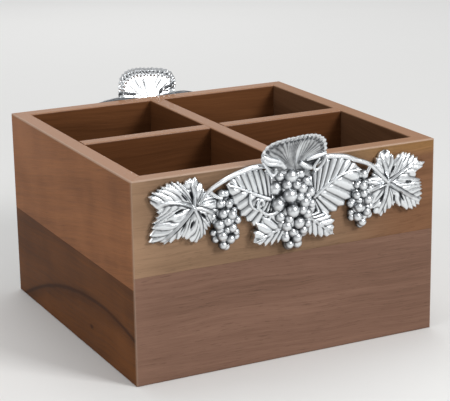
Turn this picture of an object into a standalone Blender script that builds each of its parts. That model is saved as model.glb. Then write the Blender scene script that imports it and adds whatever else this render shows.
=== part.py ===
"""Flatware caddy: a mitred, glued-up box with four compartments, and a cast vine ornament front and back.

Metres, +Z up. The front faces -Y, and the box stands on the bottom edges of its walls at z = 0.
Each of the four walls is two boards glued edge to edge. Two dividers cross in a half lap and sit in blind
housings, the base panel floats in a groove, and flat-headed screws hold the castings from inside.
"""

import math

import bmesh
import bpy
import numpy as np
from mathutils import Matrix, Vector

# Box: outside sizes, and the thickness of the wall boards
WIDTH = 0.260
DEPTH = 0.254
HEIGHT = 0.158
WALL = 0.0135

# Heights of the glue lines between the lower and the upper board of each wall
FRONT_JOINT = 0.0845
RIGHT_JOINT = 0.0800
BACK_JOINT = 0.0780
LEFT_JOINT = 0.0755

# Easing of the edges, the film of glue and the clearance that a seated piece keeps
ARRIS = 0.0012
CORNER_ROUND = 0.0020
CORNER_FACETS = (22.5, 45)
GLUE_LINE = 0.0001
FIT = 0.0003
OVERRUN = 0.002

# Base panel and its groove
BASE_THICKNESS = 0.006
BASE_RISE = 0.005
GROOVE_DEPTH = 0.005

# Dividers and the blind housings that hold their ends
DIVIDER = 0.0127
HOUSING_DEPTH = 0.004
HOUSING_STOP = 0.014

# Screws that hold the castings, put in from inside the box
SHANK_RADIUS = 0.0018
HEAD_RADIUS = 0.0034
HEAD_RIM = 0.0004
HEAD_DEPTH = 0.0019
SCREW_REACH = 0.0042
SCREW_SINK = 0.0002
SLOT_WIDTH = 0.0010
SLOT_DEPTH = 0.0012
SCREW_ASIDE = 0.0052
HEAD_ANGLE = -90

# Ornament: its margin at each side of the wall, and its drop below the rim
ORNAMENT_MARGIN = 0.012
ORNAMENT_DROP = 0.070
SHELL = 0.0026
LEAF_UNDERCUT = 0.0010

# Vine leaves at the two ends
VINE_LEAF_REACH = 0.0410
VINE_LEAF_STAND = 0.0048
VINE_LEAF_EDGE = 0.0034
VINE_LEAF_CROWN = 0.0026
VINE_TOOTH = 0.0009
VEIN_RIDGE = 0.0022
VEIN_SPREAD = 8

# The leaf that rises over the rim and leans out from the wall
TOP_LEAF_REACH = 0.0390
TOP_LEAF_STAND = 0.0076
TOP_LEAF_LEAN = 0.0175
TOP_LEAF_SCALLOP = 0.0007
TOP_LEAF_PLEAT = 0.0007
TOP_LEAF_TILT = 45

# Ribbed leaves beside the large cluster, and the two small ones under it
RIBBED_STAND = 0.0050
RIBBED_CROWN = 0.0030
RIB_RIDGE = 0.0008
RIBS = 6
LOW_LEAF_STAND = 0.0038
LOW_LEAF_CROWN = 0.0018
LOW_LEAF_RIBS = 4
FULL_RIB = 0.0090
RIBBED_BANDS = 2

# Grapes and the bunches they form: half sizes of each bunch
GRAPE_RADIUS = 0.0048
MAIN_CLUSTER_HALF_WIDTH = 0.0190
MAIN_CLUSTER_HALF_HEIGHT = 0.0315
MAIN_CLUSTER_DEPTH = 0.0105
LEFT_CLUSTER_HALF_WIDTH = 0.0115
LEFT_CLUSTER_HALF_HEIGHT = 0.0235
RIGHT_CLUSTER_HALF_WIDTH = 0.0105
RIGHT_CLUSTER_HALF_HEIGHT = 0.0230
SMALL_CLUSTER_DEPTH = 0.0074

# Stems and tendrils
STEM_RADIUS = 0.0024
STEM_STAND = 0.0048
STALK_RADIUS = 0.0013
TENDRIL_RADIUS = 0.0009
TENDRIL_STAND = 0.0078

# Shares of the ornament's half span, from the middle, and of its drop, from the rim down
LEFT_HUB_shares = (-0.693, 0.356)
RIGHT_HUB_shares = (0.703, 0.378)
TOP_LEAF_HUB_shares = (0.005, 0.086)
MAIN_CLUSTER_shares = (0.0, 0.543)
LEFT_CLUSTER_shares = (-0.475, 0.550)
RIGHT_CLUSTER_shares = (0.508, 0.557)
STEM_shares = (
    (-0.690, 0.340),
    (-0.605, 0.195),
    (-0.492, 0.090),
    (-0.370, 0.035),
    (-0.220, 0.015),
    (0.000, 0.070),
    (0.230, 0.012),
    (0.380, 0.040),
    (0.490, 0.100),
    (0.570, 0.165),
    (0.630, 0.260),
    (0.700, 0.375),
)
LEFT_STALK_shares = ((-0.492, 0.090), (-0.485, 0.280))
RIGHT_STALK_shares = ((0.540, 0.140), (0.520, 0.290))
TENDRIL_shares = ((-0.315, 0.283), (-0.321, 0.356), (-0.308, 0.423), (-0.280, 0.469), (-0.259, 0.477))
CURL_shares = (
    (-0.240, 0.434),
    (-0.228, 0.409),
    (-0.236, 0.374),
    (-0.256, 0.371),
    (-0.269, 0.406),
    (-0.263, 0.457),
    (-0.234, 0.506),
    (-0.196, 0.537),
    (-0.157, 0.534),
    (-0.122, 0.500),
)

# Ribbed and low leaves: midrib from base to tip, upper margin and lower margin
LEFT_RIBBED_shares = (
    ((-0.161, 0.389), (-0.225, 0.349), (-0.298, 0.287), (-0.359, 0.234), (-0.412, 0.191), (-0.469, 0.163)),
    (
        (-0.153, 0.143),
        (-0.195, 0.071),
        (-0.263, 0.029),
        (-0.326, 0.034),
        (-0.387, 0.063),
        (-0.433, 0.106),
        (-0.469, 0.163),
    ),
    (
        (-0.168, 0.709),
        (-0.238, 0.690),
        (-0.292, 0.640),
        (-0.331, 0.583),
        (-0.375, 0.511),
        (-0.395, 0.443),
        (-0.423, 0.357),
        (-0.447, 0.269),
        (-0.469, 0.163),
    ),
)
RIGHT_RIBBED_shares = (
    ((0.140, 0.446), (0.196, 0.380), (0.257, 0.311), (0.328, 0.246), (0.400, 0.209), (0.505, 0.206)),
    (
        (0.125, 0.217),
        (0.186, 0.109),
        (0.246, 0.046),
        (0.307, 0.026),
        (0.389, 0.057),
        (0.451, 0.114),
        (0.505, 0.206),
    ),
    (
        (0.145, 0.560),
        (0.206, 0.653),
        (0.268, 0.667),
        (0.339, 0.623),
        (0.401, 0.560),
        (0.453, 0.479),
        (0.476, 0.406),
        (0.493, 0.314),
        (0.505, 0.206),
    ),
)
LEFT_LOW_shares = (
    ((-0.037, 0.684), (-0.093, 0.716), (-0.156, 0.754), (-0.229, 0.801), (-0.292, 0.834)),
    ((-0.042, 0.621), (-0.093, 0.607), (-0.155, 0.609), (-0.218, 0.640), (-0.263, 0.706), (-0.292, 0.834)),
    (
        (-0.030, 0.806),
        (-0.078, 0.846),
        (-0.125, 0.869),
        (-0.164, 0.880),
        (-0.203, 0.883),
        (-0.250, 0.869),
        (-0.292, 0.834),
    ),
)
RIGHT_LOW_shares = (
    ((0.081, 0.621), (0.127, 0.674), (0.182, 0.744), (0.237, 0.817), (0.290, 0.886)),
    ((0.144, 0.579), (0.203, 0.626), (0.258, 0.663), (0.293, 0.714), (0.297, 0.800), (0.290, 0.886)),
    (
        (0.064, 0.729),
        (0.084, 0.803),
        (0.120, 0.851),
        (0.160, 0.880),
        (0.211, 0.900),
        (0.254, 0.903),
        (0.290, 0.886),
    ),
)

# How far the ribs fan out, above and below the midrib: at 1 they are evenly spaced on it
LEFT_FAN_shares = (0.64, 0.45)
RIGHT_FAN_shares = (0.53, 0.38)
LOW_FAN_shares = (0.70, 0.70)

# Outlines of the leaves about their hubs: angle in degrees from +X, and reach as a share of the longest reach
LEFT_OUTLINE_shares = (
    (5, 0.44),
    (40, 0.36),
    (68, 0.45),
    (88, 0.58),
    (105, 0.48),
    (125, 0.62),
    (142, 0.72),
    (163, 0.93),
    (175, 0.76),
    (184, 0.62),
    (196, 0.84),
    (212, 1.00),
    (230, 0.75),
    (248, 0.57),
    (264, 0.62),
    (278, 0.67),
    (295, 0.52),
    (312, 0.44),
    (336, 0.54),
)
RIGHT_OUTLINE_shares = (
    (12, 0.94),
    (30, 0.78),
    (48, 0.65),
    (69, 0.50),
    (88, 0.60),
    (108, 0.45),
    (135, 0.34),
    (165, 0.40),
    (198, 0.47),
    (222, 0.47),
    (247, 0.60),
    (262, 0.72),
    (280, 0.67),
    (295, 0.66),
    (310, 0.86),
    (325, 1.00),
    (340, 0.88),
    (353, 0.68),
)
TOP_OUTLINE_shares = (
    (14, 0.71),
    (25, 0.70),
    (38, 0.76),
    (48, 0.79),
    (61, 0.79),
    (72, 0.77),
    (86, 0.74),
    (102, 0.73),
    (120, 0.80),
    (133, 0.89),
    (142, 0.94),
    (148, 0.91),
    (156, 0.88),
    (160, 0.81),
    (167, 0.68),
    (183, 0.53),
    (205, 0.34),
    (270, 0.13),
    (325, 0.24),
    (349, 0.50),
)
LEFT_VEINS = (88, 163, 212, 278, 336)
RIGHT_VEINS = (12, 88, 198, 258, 325)
TOP_VEINS = (14, 50, 84, 118, 142, 167)

# Grapes: place across and up from the bunch's middle as shares of its half sizes, and share of GRAPE_RADIUS
MAIN_GRAPE_shares = (
    (-0.14, 0.84, 1.08),
    (-0.58, 0.86, 0.85),
    (-0.83, 0.59, 1.06),
    (-0.27, 0.41, 1.08),
    (-0.75, 0.20, 1.04),
    (-0.18, 0.03, 1.02),
    (-0.68, -0.10, 0.81),
    (0.09, -0.29, 0.92),
    (-0.42, -0.34, 0.83),
    (0.28, 0.54, 0.88),
    (0.55, 0.67, 0.79),
    (0.36, 0.20, 0.90),
    (0.74, 0.39, 0.81),
    (0.32, 0.86, 0.83),
    (0.49, -0.11, 0.81),
    (0.07, -0.68, 0.81),
    (-0.19, -0.84, 0.71),
    (-0.42, -0.64, 0.75),
)
LEFT_GRAPE_shares = (
    (-0.27, 0.87, 0.77),
    (-0.47, 0.57, 0.75),
    (0.09, 0.55, 0.71),
    (-0.34, 0.27, 0.81),
    (0.27, 0.21, 0.85),
    (-0.59, -0.08, 0.90),
    (0.73, -0.03, 0.71),
    (0.32, -0.23, 0.79),
    (-0.38, -0.46, 0.88),
    (0.23, -0.61, 0.79),
    (-0.25, -0.79, 0.73),
)
RIGHT_GRAPE_shares = (
    (0.23, 0.87, 0.85),
    (0.02, 0.51, 0.83),
    (-0.49, 0.21, 0.75),
    (0.42, 0.02, 0.85),
    (-0.85, -0.08, 0.75),
    (-0.34, -0.21, 0.83),
    (0.35, -0.41, 0.81),
    (-0.38, -0.55, 0.81),
    (0.06, -0.77, 0.79),
)

# Shares that shape the ornament
CORE_HEIGHT_share = 0.94
MAIN_CORE_share = 0.86
SMALL_CORE_share = 0.72
SCREW_HEIGHT_share = 0.60
VEIN_HOLLOW_share = 0.30
LEAN_POWER_share = 1.3
RIB_EDGE_share = 0.04
RIB_OVERLAP_share = 0.04

# How finely round and curved shapes are faceted, and how near points are to be one
SCREW_STEPS = 12
LEAF_SPOKES = 42
LEAF_RINGS = 3
GRAPE_SEGMENTS = 8
CORE_SEGMENTS = 10
STEM_RESOLUTION = 1
TENDRIL_RESOLUTION = 0
STEM_POINTS = 18
TENDRIL_POINTS = 6
CURL_POINTS = 10
COURSE_POINTS = 40
SAME_POINT = 0.00001
FLAT_ANGLE = 3
SHARP_ANGLE = 50

# Finishes: roughness of the lacquered wood, the screws and the casting
WOOD_ROUGHNESS = 0.42
STEEL_ROUGHNESS = 0.30
CAST_ROUGHNESS = 0.28

CADDY = "flatware_caddy"
CUTTERS = "cutters"
PIECES = "ornament_pieces"

INNER_WIDTH = WIDTH - 2 * WALL
INNER_DEPTH = DEPTH - 2 * WALL
BASE_TOP = BASE_RISE + BASE_THICKNESS
LAP_HEIGHT = (BASE_TOP + HEIGHT) / 2
HALF_SPAN = WIDTH / 2 - ORNAMENT_MARGIN
SCREW_LEVEL = HEIGHT - SCREW_HEIGHT_share * ORNAMENT_DROP


def clear_scene():
    for obj in list(bpy.data.objects):
        bpy.data.objects.remove(obj)
    for name in (CADDY, CUTTERS, PIECES):
        collection = bpy.data.collections.new(name)
        bpy.context.scene.collection.children.link(collection)


def wood(name, color):
    return finish(name, color, WOOD_ROUGHNESS, 0.0)


def finish(name, color, roughness, metallic):
    """One Principled material, reused where a piece asks for the same name."""
    material = bpy.data.materials.get(name) or bpy.data.materials.new(name)
    material.use_nodes = True
    shader = material.node_tree.nodes["Principled BSDF"]
    shader.inputs["Base Color"].default_value = (*color, 1.0)
    shader.inputs["Roughness"].default_value = roughness
    shader.inputs["Metallic"].default_value = metallic
    return material


def add_object(name, mesh, collection, material=None, parent=None):
    obj = bpy.data.objects.new(name, mesh)
    bpy.data.collections[collection].objects.link(obj)
    obj.parent = parent
    if material:
        mesh.materials.clear()
        mesh.materials.append(material)
    if collection != CADDY:
        obj.hide_render = True
        obj.display_type = "WIRE"
    return obj


def object_from(bm, name, collection, material=None, parent=None):
    bmesh.ops.recalc_face_normals(bm, faces=bm.faces)
    mesh = bpy.data.meshes.new(name)
    bm.to_mesh(mesh)
    bm.free()
    return add_object(name, mesh, collection, material, parent)


def box_mesh(low, high):
    """A bmesh box between two corners."""
    bm = bmesh.new()
    bmesh.ops.create_cube(bm, size=1)
    low = Vector(low)
    high = Vector(high)
    bmesh.ops.scale(bm, vec=high - low, verts=bm.verts)
    bmesh.ops.translate(bm, vec=(low + high) / 2, verts=bm.verts)
    return bm


def cutter_box(name, low, high, parent=None):
    return object_from(box_mesh(low, high), name, CUTTERS, parent=parent)


def boolean(obj, operation, cutter):
    modifier = obj.modifiers.new(cutter.name, "BOOLEAN")
    modifier.operation = operation
    modifier.solver = "EXACT"
    modifier.object = cutter


def cut_off(bm, point, normal):
    """Removes what lies past a plane and closes the cut."""
    geometry = bm.verts[:] + bm.edges[:] + bm.faces[:]
    cut = bmesh.ops.bisect_plane(bm, geom=geometry, plane_co=point, plane_no=normal, clear_outer=True)
    edges = [item for item in cut["geom_cut"] if isinstance(item, bmesh.types.BMEdge)]
    bmesh.ops.edgeloop_fill(bm, edges=edges)


def ease_long_edges(bm, level):
    """Rounds the edges along X at one height."""
    edges = []
    for edge in bm.edges:
        first, second = (vert.co for vert in edge.verts)
        along_x = math.isclose(first.y, second.y, abs_tol=SAME_POINT) and first.x != second.x
        at_level = all(math.isclose(vert.co.z, level, abs_tol=SAME_POINT) for vert in edge.verts)
        if along_x and at_level:
            edges.append(edge)
    bmesh.ops.bevel(bm, geom=edges, offset=ARRIS, segments=2, profile=0.5, affect="EDGES", material=-1)


def side_empty(name, turn):
    """One side of the box, with its wall facing -Y before the turn."""
    empty = bpy.data.objects.new(name, None)
    bpy.data.collections[CADDY].objects.link(empty)
    empty.rotation_euler.z = math.radians(turn)
    return empty


def wall_board(name, run, reach, bottom, top, material, side):
    """One board of a wall: run is its length outside, and reach the box's size square to it."""
    bm = box_mesh((-run / 2, -reach / 2, bottom), (run / 2, WALL - reach / 2, top))
    ease_long_edges(bm, 0.0 if bottom == 0 else top)
    for end in (-1, 1):
        corner = Vector((end * run / 2, -reach / 2, bottom))
        mitre = Vector((end, 1, 0)).normalized()
        cut_off(bm, corner - mitre * GLUE_LINE / 2, mitre)
        centre = corner + Vector((-end, 1, 0)) * CORNER_ROUND
        for angle in CORNER_FACETS:
            normal = Vector((end * math.sin(math.radians(angle)), -math.cos(math.radians(angle)), 0))
            cut_off(bm, centre + normal * CORNER_ROUND, normal)
    return object_from(bm, name, CADDY, material, side)


def make_walls():
    """The eight wall boards, with the groove for the base and the housings for the dividers."""
    groove = cutter_box(
        "base_groove",
        (-INNER_WIDTH / 2 - GROOVE_DEPTH, -INNER_DEPTH / 2 - GROOVE_DEPTH, BASE_RISE - FIT),
        (INNER_WIDTH / 2 + GROOVE_DEPTH, INNER_DEPTH / 2 + GROOVE_DEPTH, BASE_TOP + FIT),
    )
    walls = (
        ("front", 0, WIDTH, DEPTH, FRONT_JOINT, (0.42, 0.28, 0.17), (0.30, 0.19, 0.14)),
        ("right", 90, DEPTH, WIDTH, RIGHT_JOINT, (0.36, 0.22, 0.12), (0.26, 0.14, 0.08)),
        ("back", 180, WIDTH, DEPTH, BACK_JOINT, (0.38, 0.25, 0.15), (0.28, 0.17, 0.10)),
        ("left", 270, DEPTH, WIDTH, LEFT_JOINT, (0.34, 0.22, 0.15), (0.17, 0.10, 0.06)),
    )
    sides = {}
    for name, turn, run, reach, joint, upper_color, lower_color in walls:
        side = side_empty(name + "_side", turn)
        sides[name] = side
        lower_wood = wood(name + "_lower_wood", lower_color)
        upper_wood = wood(name + "_upper_wood", upper_color)
        lower = wall_board(name + "_lower_board", run, reach, 0.0, joint - GLUE_LINE / 2, lower_wood, side)
        upper = wall_board(name + "_upper_board", run, reach, joint + GLUE_LINE / 2, HEIGHT, upper_wood, side)
        housing = cutter_box(
            name + "_housing",
            (-DIVIDER / 2 - FIT, WALL - HOUSING_DEPTH - reach / 2, BASE_TOP - FIT),
            (DIVIDER / 2 + FIT, WALL + OVERRUN - reach / 2, HEIGHT - HOUSING_STOP),
            side,
        )
        boolean(lower, "DIFFERENCE", groove)
        boolean(lower, "DIFFERENCE", housing)
        boolean(upper, "DIFFERENCE", housing)
    return sides


def make_base():
    """The panel that floats in the walls' groove."""
    half_width = INNER_WIDTH / 2 + GROOVE_DEPTH - FIT
    half_depth = INNER_DEPTH / 2 + GROOVE_DEPTH - FIT
    bm = box_mesh((-half_width, -half_depth, BASE_RISE), (half_width, half_depth, BASE_TOP))
    object_from(bm, "base_panel", CADDY, wood("base_wood", (0.22, 0.13, 0.08)))


def make_divider(name, inner_run, turn, notch_low, notch_high, color):
    """A divider along X, turned into place, housed at both ends and notched for the one that it crosses."""
    end = inner_run / 2 + HOUSING_DEPTH - FIT
    shoulder = inner_run / 2 - FIT
    bm = box_mesh((-end, -DIVIDER / 2, BASE_TOP + FIT), (end, DIVIDER / 2, HEIGHT))
    ease_long_edges(bm, HEIGHT)
    divider = object_from(bm, name, CADDY, wood(name + "_wood", color))
    divider.rotation_euler.z = math.radians(turn)
    notch = cutter_box(
        name + "_notch",
        (-DIVIDER / 2 - FIT, -DIVIDER, notch_low),
        (DIVIDER / 2 + FIT, DIVIDER, notch_high),
        divider,
    )
    boolean(divider, "DIFFERENCE", notch)
    for side in (-1, 1):
        low, high = sorted((side * shoulder, side * (end + OVERRUN)))
        stop = cutter_box(
            f"{name}_shoulder_{'left' if side < 0 else 'right'}",
            (low, -DIVIDER, HEIGHT - HOUSING_STOP - FIT),
            (high, DIVIDER, HEIGHT + OVERRUN),
            divider,
        )
        boolean(divider, "DIFFERENCE", stop)


def make_dividers():
    """The long divider is notched from above, and the cross divider, unbroken at the rim, from below."""
    lap_low = LAP_HEIGHT - FIT / 2
    lap_high = LAP_HEIGHT + FIT / 2
    make_divider("long_divider", INNER_WIDTH, 0, lap_low, HEIGHT + OVERRUN, (0.34, 0.21, 0.13))
    make_divider("cross_divider", INNER_DEPTH, 90, BASE_TOP - OVERRUN, lap_high, (0.36, 0.22, 0.14))


def turned(name, profile, collection, material=None, parent=None):
    """A turned body about its own Z: the profile runs down from the top of its axis to the bottom."""
    bm = bmesh.new()
    verts = [bm.verts.new((radius, 0, height)) for radius, height in profile]
    for first, second in zip(verts, verts[1:]):
        bm.edges.new((first, second))
    mesh = bpy.data.meshes.new(name)
    bm.to_mesh(mesh)
    bm.free()
    obj = add_object(name, mesh, collection, material, parent)
    spin = obj.modifiers.new("turned", "SCREW")
    spin.steps = SCREW_STEPS
    spin.render_steps = SCREW_STEPS
    spin.use_merge_vertices = True
    spin.merge_threshold = SAME_POINT
    return obj


def screw_profile(clearance):
    """Outline of a flat-headed screw from the middle of its head down, grown by a clearance."""
    head = HEAD_RADIUS + clearance
    shank = SHANK_RADIUS + clearance
    top = clearance + (OVERRUN if clearance else 0.0)
    end = SCREW_SINK + WALL + FIT + SCREW_REACH + clearance
    return (
        (0, top),
        (head, top),
        (head, -HEAD_RIM),
        (shank, -HEAD_RIM - HEAD_DEPTH),
        (shank, -end + shank / 2),
        (shank / 2, -end),
        (0, -end),
    )


def screw_places():
    """Head centres of a side's four screws: one behind each small bunch, and two behind the large one."""
    beside_divider = DIVIDER / 2 + SCREW_ASIDE
    left_bunch = LEFT_CLUSTER_shares[0] * HALF_SPAN
    right_bunch = RIGHT_CLUSTER_shares[0] * HALF_SPAN
    spots = (left_bunch, -beside_divider, beside_divider, right_bunch)
    return [Vector((spot, WALL - SCREW_SINK - DEPTH / 2, SCREW_LEVEL)) for spot in spots]


def make_screws(side_name, side):
    """Four screws on one side, each slotted, and the clearance holes through the wall's upper board."""
    steel = finish("screw_steel", (0.60, 0.60, 0.62), STEEL_ROUGHNESS, 1.0)
    board = bpy.data.objects[side_name + "_upper_board"]
    for number, place in enumerate(screw_places(), 1):
        screw = turned(f"{side_name}_screw_{number}", screw_profile(0.0), CADDY, steel, side)
        screw.location = place
        screw.rotation_euler.x = math.radians(HEAD_ANGLE)
        slot = cutter_box(
            f"{screw.name}_slot",
            (-HEAD_RADIUS - OVERRUN, -SLOT_WIDTH / 2, -SLOT_DEPTH),
            (HEAD_RADIUS + OVERRUN, SLOT_WIDTH / 2, OVERRUN),
            screw,
        )
        boolean(screw, "DIFFERENCE", slot)
        hole = turned(f"{screw.name}_hole", screw_profile(FIT), CUTTERS, None, side)
        hole.location = screw.location
        hole.rotation_euler = screw.rotation_euler
        boolean(board, "DIFFERENCE", hole)


def spot_at(shares, stand=0.0):
    """A point of the ornament: across and down as shares, and its distance from the wall."""
    across, down = shares
    return Vector((across * HALF_SPAN, -stand, HEIGHT - down * ORNAMENT_DROP))


def disc_mesh(spokes, rings):
    """A flat disc of radius 1 in X and Z, made of rings drawn in from its rim."""
    bm = bmesh.new()
    bmesh.ops.create_circle(bm, segments=spokes, radius=1)
    bmesh.ops.rotate(bm, verts=bm.verts, matrix=Matrix.Rotation(math.radians(90), 3, "X"))
    edges = bm.edges[:]
    for ring in range(rings - 1, 0, -1):
        drawn = bmesh.ops.extrude_edge_only(bm, edges=edges)["geom"]
        verts = [item for item in drawn if isinstance(item, bmesh.types.BMVert)]
        edges = [edge for edge in bm.edges if edge.verts[0] in verts and edge.verts[1] in verts]
        factor = ring / (ring + 1)
        bmesh.ops.scale(bm, vec=(factor, factor, factor), verts=verts)
    middle = bmesh.ops.edgeloop_fill(bm, edges=edges)["faces"]
    bmesh.ops.poke(bm, faces=middle)
    return bm


def thicken(bm, offset):
    """Closes a sheet into a plate by drawing a copy of it away by one offset."""
    made = bmesh.ops.extrude_face_region(bm, geom=bm.faces[:])["geom"]
    bmesh.ops.translate(bm, vec=offset, verts=[item for item in made if isinstance(item, bmesh.types.BMVert)])


def back_with_flat(bm):
    """Closes a sheet in front of the wall with a flat back, LEAF_UNDERCUT off the wall."""
    rim = [edge for edge in bm.edges if edge.is_boundary]
    drawn = bmesh.ops.extrude_edge_only(bm, edges=rim)["geom"]
    for item in drawn:
        if isinstance(item, bmesh.types.BMVert):
            item.co.y = -LEAF_UNDERCUT
    edges = [item for item in drawn if isinstance(item, bmesh.types.BMEdge) and item.is_boundary]
    bmesh.ops.edgeloop_fill(bm, edges=edges)


def vein_near(angle, veins):
    """How close an angle is to a main vein: 1 on the vein, and 0 away from it."""
    apart = min(abs((angle - vein + 180) % 360 - 180) for vein in veins)
    return math.exp(-((apart / VEIN_SPREAD) ** 2))


def polar_leaf(bm, hub, leaf_reach, outline, veins, tooth, lift_at):
    """Shapes a disc into a leaf about its hub: an outline with teeth, and a lift from the wall by a rule."""
    angles, reaches = zip(*outline)
    for vert in bm.verts:
        share = math.hypot(vert.co.x, vert.co.z)
        angle = math.degrees(math.atan2(vert.co.z, vert.co.x))
        point = 1 if round(angle * LEAF_SPOKES / 360) % 2 else -1
        reach = leaf_reach * np.interp(angle, angles, reaches, period=360)
        radius = share * reach + tooth * point * share**3
        turn = math.radians(angle)
        across = radius * math.cos(turn)
        up = radius * math.sin(turn)
        vert.co = hub + Vector((across, -lift_at(share, up, vein_near(angle, veins)), up))


def vine_leaf(name, hub, outline, veins):
    """A lobed leaf with teeth, raised main veins and a swollen blade between them."""

    def lift_at(share, up, vein):
        lift = VINE_LEAF_STAND + (VINE_LEAF_EDGE - VINE_LEAF_STAND) * share**2
        lift += VINE_LEAF_CROWN * math.sin(math.pi * share) * (1 - VEIN_HOLLOW_share * vein)
        return lift + VEIN_RIDGE * vein * (1 - share**2)

    bm = disc_mesh(LEAF_SPOKES, LEAF_RINGS)
    polar_leaf(bm, hub, VINE_LEAF_REACH, outline, veins, VINE_TOOTH, lift_at)
    back_with_flat(bm)
    return object_from(bm, name, PIECES)


def top_leaf(name, hub):
    """The broad leaf over the rim: it leans out from the wall towards its scalloped edge."""

    def lift_at(share, up, vein):
        rise = max(up, 0.0) / TOP_LEAF_REACH
        return TOP_LEAF_STAND + TOP_LEAF_LEAN * rise**LEAN_POWER_share - TOP_LEAF_PLEAT * (1 - vein) * share

    bm = disc_mesh(LEAF_SPOKES, LEAF_RINGS)
    polar_leaf(bm, hub, TOP_LEAF_REACH, TOP_OUTLINE_shares, TOP_VEINS, TOP_LEAF_SCALLOP, lift_at)
    tilt = math.radians(TOP_LEAF_TILT)
    thicken(bm, Vector((0, SHELL * math.cos(tilt), -SHELL * math.sin(tilt))))
    return object_from(bm, name, PIECES)


def course(points):
    """A smooth course through points, as a function from a share of its length to a place."""
    fine = smooth_route(points, COURSE_POINTS)
    lengths = [0.0]
    for first, second in zip(fine, fine[1:]):
        lengths.append(lengths[-1] + (second - first).length)
    return lambda share: Vector([np.interp(share * lengths[-1], lengths, axis) for axis in zip(*fine)])


def ribbed_half(name, midrib, margin, fan, crown, ribs):
    """Half of a ribbed leaf: pleats run from the midrib out to the margin, and its edge steps with them."""
    bm = bmesh.new()
    bmesh.ops.create_grid(bm, x_segments=2 * ribs, y_segments=RIBBED_BANDS, size=0.5)
    along_midrib = course(midrib)
    along_margin = course(margin)
    for vert in bm.verts:
        share = vert.co.x + 0.5
        side = vert.co.y + 0.5
        pleat = 1 if round(share * 2 * ribs) % 2 else -1
        start = along_midrib(share ** (1 / fan))
        end = along_margin(share)
        swell = min((end - start).length / FULL_RIB, 1.0)
        out = side * (1 + RIB_EDGE_share * pleat) - RIB_OVERLAP_share * (1 - side)
        lift = swell * (crown * (1 - side**2) + RIB_RIDGE * pleat * side)
        vert.co = start + (end - start) * out - Vector((0, lift, 0))
    bmesh.ops.remove_doubles(bm, verts=bm.verts, dist=SAME_POINT)
    back_with_flat(bm)
    return object_from(bm, name, PIECES)


def ribbed_leaf(name, routes, stand, fans, crown, ribs):
    """A broad pointed leaf: two ribbed halves that meet along its midrib."""
    midrib, upper, lower = ([spot_at(shares, stand) for shares in route] for route in routes)
    ribbed_half(name + "_upper", midrib, upper, fans[0], crown, ribs)
    ribbed_half(name + "_lower", midrib, lower, fans[1], crown, ribs)


def cluster(name, middle, half_width, half_height, depth, core_share, grapes):
    """A bunch: a round core that stands on the wall and takes a screw, with grapes on its surface."""
    bm = bmesh.new()
    bmesh.ops.create_uvsphere(bm, u_segments=CORE_SEGMENTS, v_segments=CORE_SEGMENTS // 2, radius=1)
    bmesh.ops.scale(bm, vec=(core_share * half_width, depth, CORE_HEIGHT_share * half_height), verts=bm.verts)
    bmesh.ops.translate(bm, vec=middle, verts=bm.verts)
    object_from(bm, name + "_core", PIECES)
    for number, (across, up, radius_share) in enumerate(grapes):
        radius = radius_share * GRAPE_RADIUS
        stand = depth * math.sqrt(max(1 - across**2 - up**2, 0.0))
        centre = middle + Vector((across * half_width, -max(stand, radius / 2), up * half_height))
        rings = GRAPE_SEGMENTS // 2
        bm = bmesh.new()
        bmesh.ops.create_uvsphere(bm, u_segments=GRAPE_SEGMENTS, v_segments=rings, radius=radius)
        bmesh.ops.rotate(bm, verts=bm.verts, matrix=Matrix.Rotation(math.radians(90), 3, "X"))
        bmesh.ops.rotate(bm, verts=bm.verts, matrix=Matrix.Rotation(number, 3, "Y"))
        bmesh.ops.translate(bm, vec=centre, verts=bm.verts)
        object_from(bm, f"{name}_grape_{number}", PIECES)


def smooth_route(points, count):
    """Points at even steps of a smooth curve through the given ones."""
    route = []
    spans = len(points) - 1
    for step in range(count):
        place = step * spans / (count - 1)
        index = min(int(place), spans - 1)
        t = place - index
        before = points[max(index - 1, 0)]
        first, second = points[index], points[index + 1]
        after = points[min(index + 2, spans)]
        bend = (2 * before - 5 * first + 4 * second - after) * t**2
        twist = (3 * first - before - 3 * second + after) * t**3
        route.append((2 * first + (second - before) * t + bend + twist) / 2)
    return route


def tube(name, route, radius, resolution):
    """A round bar along a route, as a closed mesh."""
    curve = bpy.data.curves.new(name, "CURVE")
    curve.dimensions = "3D"
    curve.bevel_depth = radius
    curve.bevel_resolution = resolution
    curve.use_fill_caps = True
    spline = curve.splines.new("POLY")
    spline.points.add(len(route) - 1)
    for point, place in zip(spline.points, route):
        point.co = (*place, 1)
    guide = add_object(name + "_guide", curve, PIECES)
    bpy.context.view_layer.update()
    mesh = bpy.data.meshes.new_from_object(guide.evaluated_get(bpy.context.evaluated_depsgraph_get()))
    bpy.data.objects.remove(guide)
    bm = bmesh.new()
    bm.from_mesh(mesh)
    bpy.data.meshes.remove(mesh)
    bmesh.ops.remove_doubles(bm, verts=bm.verts, dist=SAME_POINT)
    return object_from(bm, name, PIECES)


def make_stems():
    """The vine that carries everything, its stalks, and the curling tendril."""
    stem = [spot_at(shares, STEM_STAND) for shares in STEM_shares]
    tube("vine_stem", smooth_route(stem, STEM_POINTS), STEM_RADIUS, STEM_RESOLUTION)
    for name, shares in (("left_stalk", LEFT_STALK_shares), ("right_stalk", RIGHT_STALK_shares)):
        ends = [spot_at(pair, STEM_STAND) for pair in shares]
        tube(name, ends, STALK_RADIUS, TENDRIL_RESOLUTION)
    for name, shares, count in (
        ("tendril", TENDRIL_shares, TENDRIL_POINTS),
        ("tendril_curl", CURL_shares, CURL_POINTS),
    ):
        points = [spot_at(pair, TENDRIL_STAND) for pair in shares]
        tube(name, smooth_route(points, count), TENDRIL_RADIUS, TENDRIL_RESOLUTION)


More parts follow.
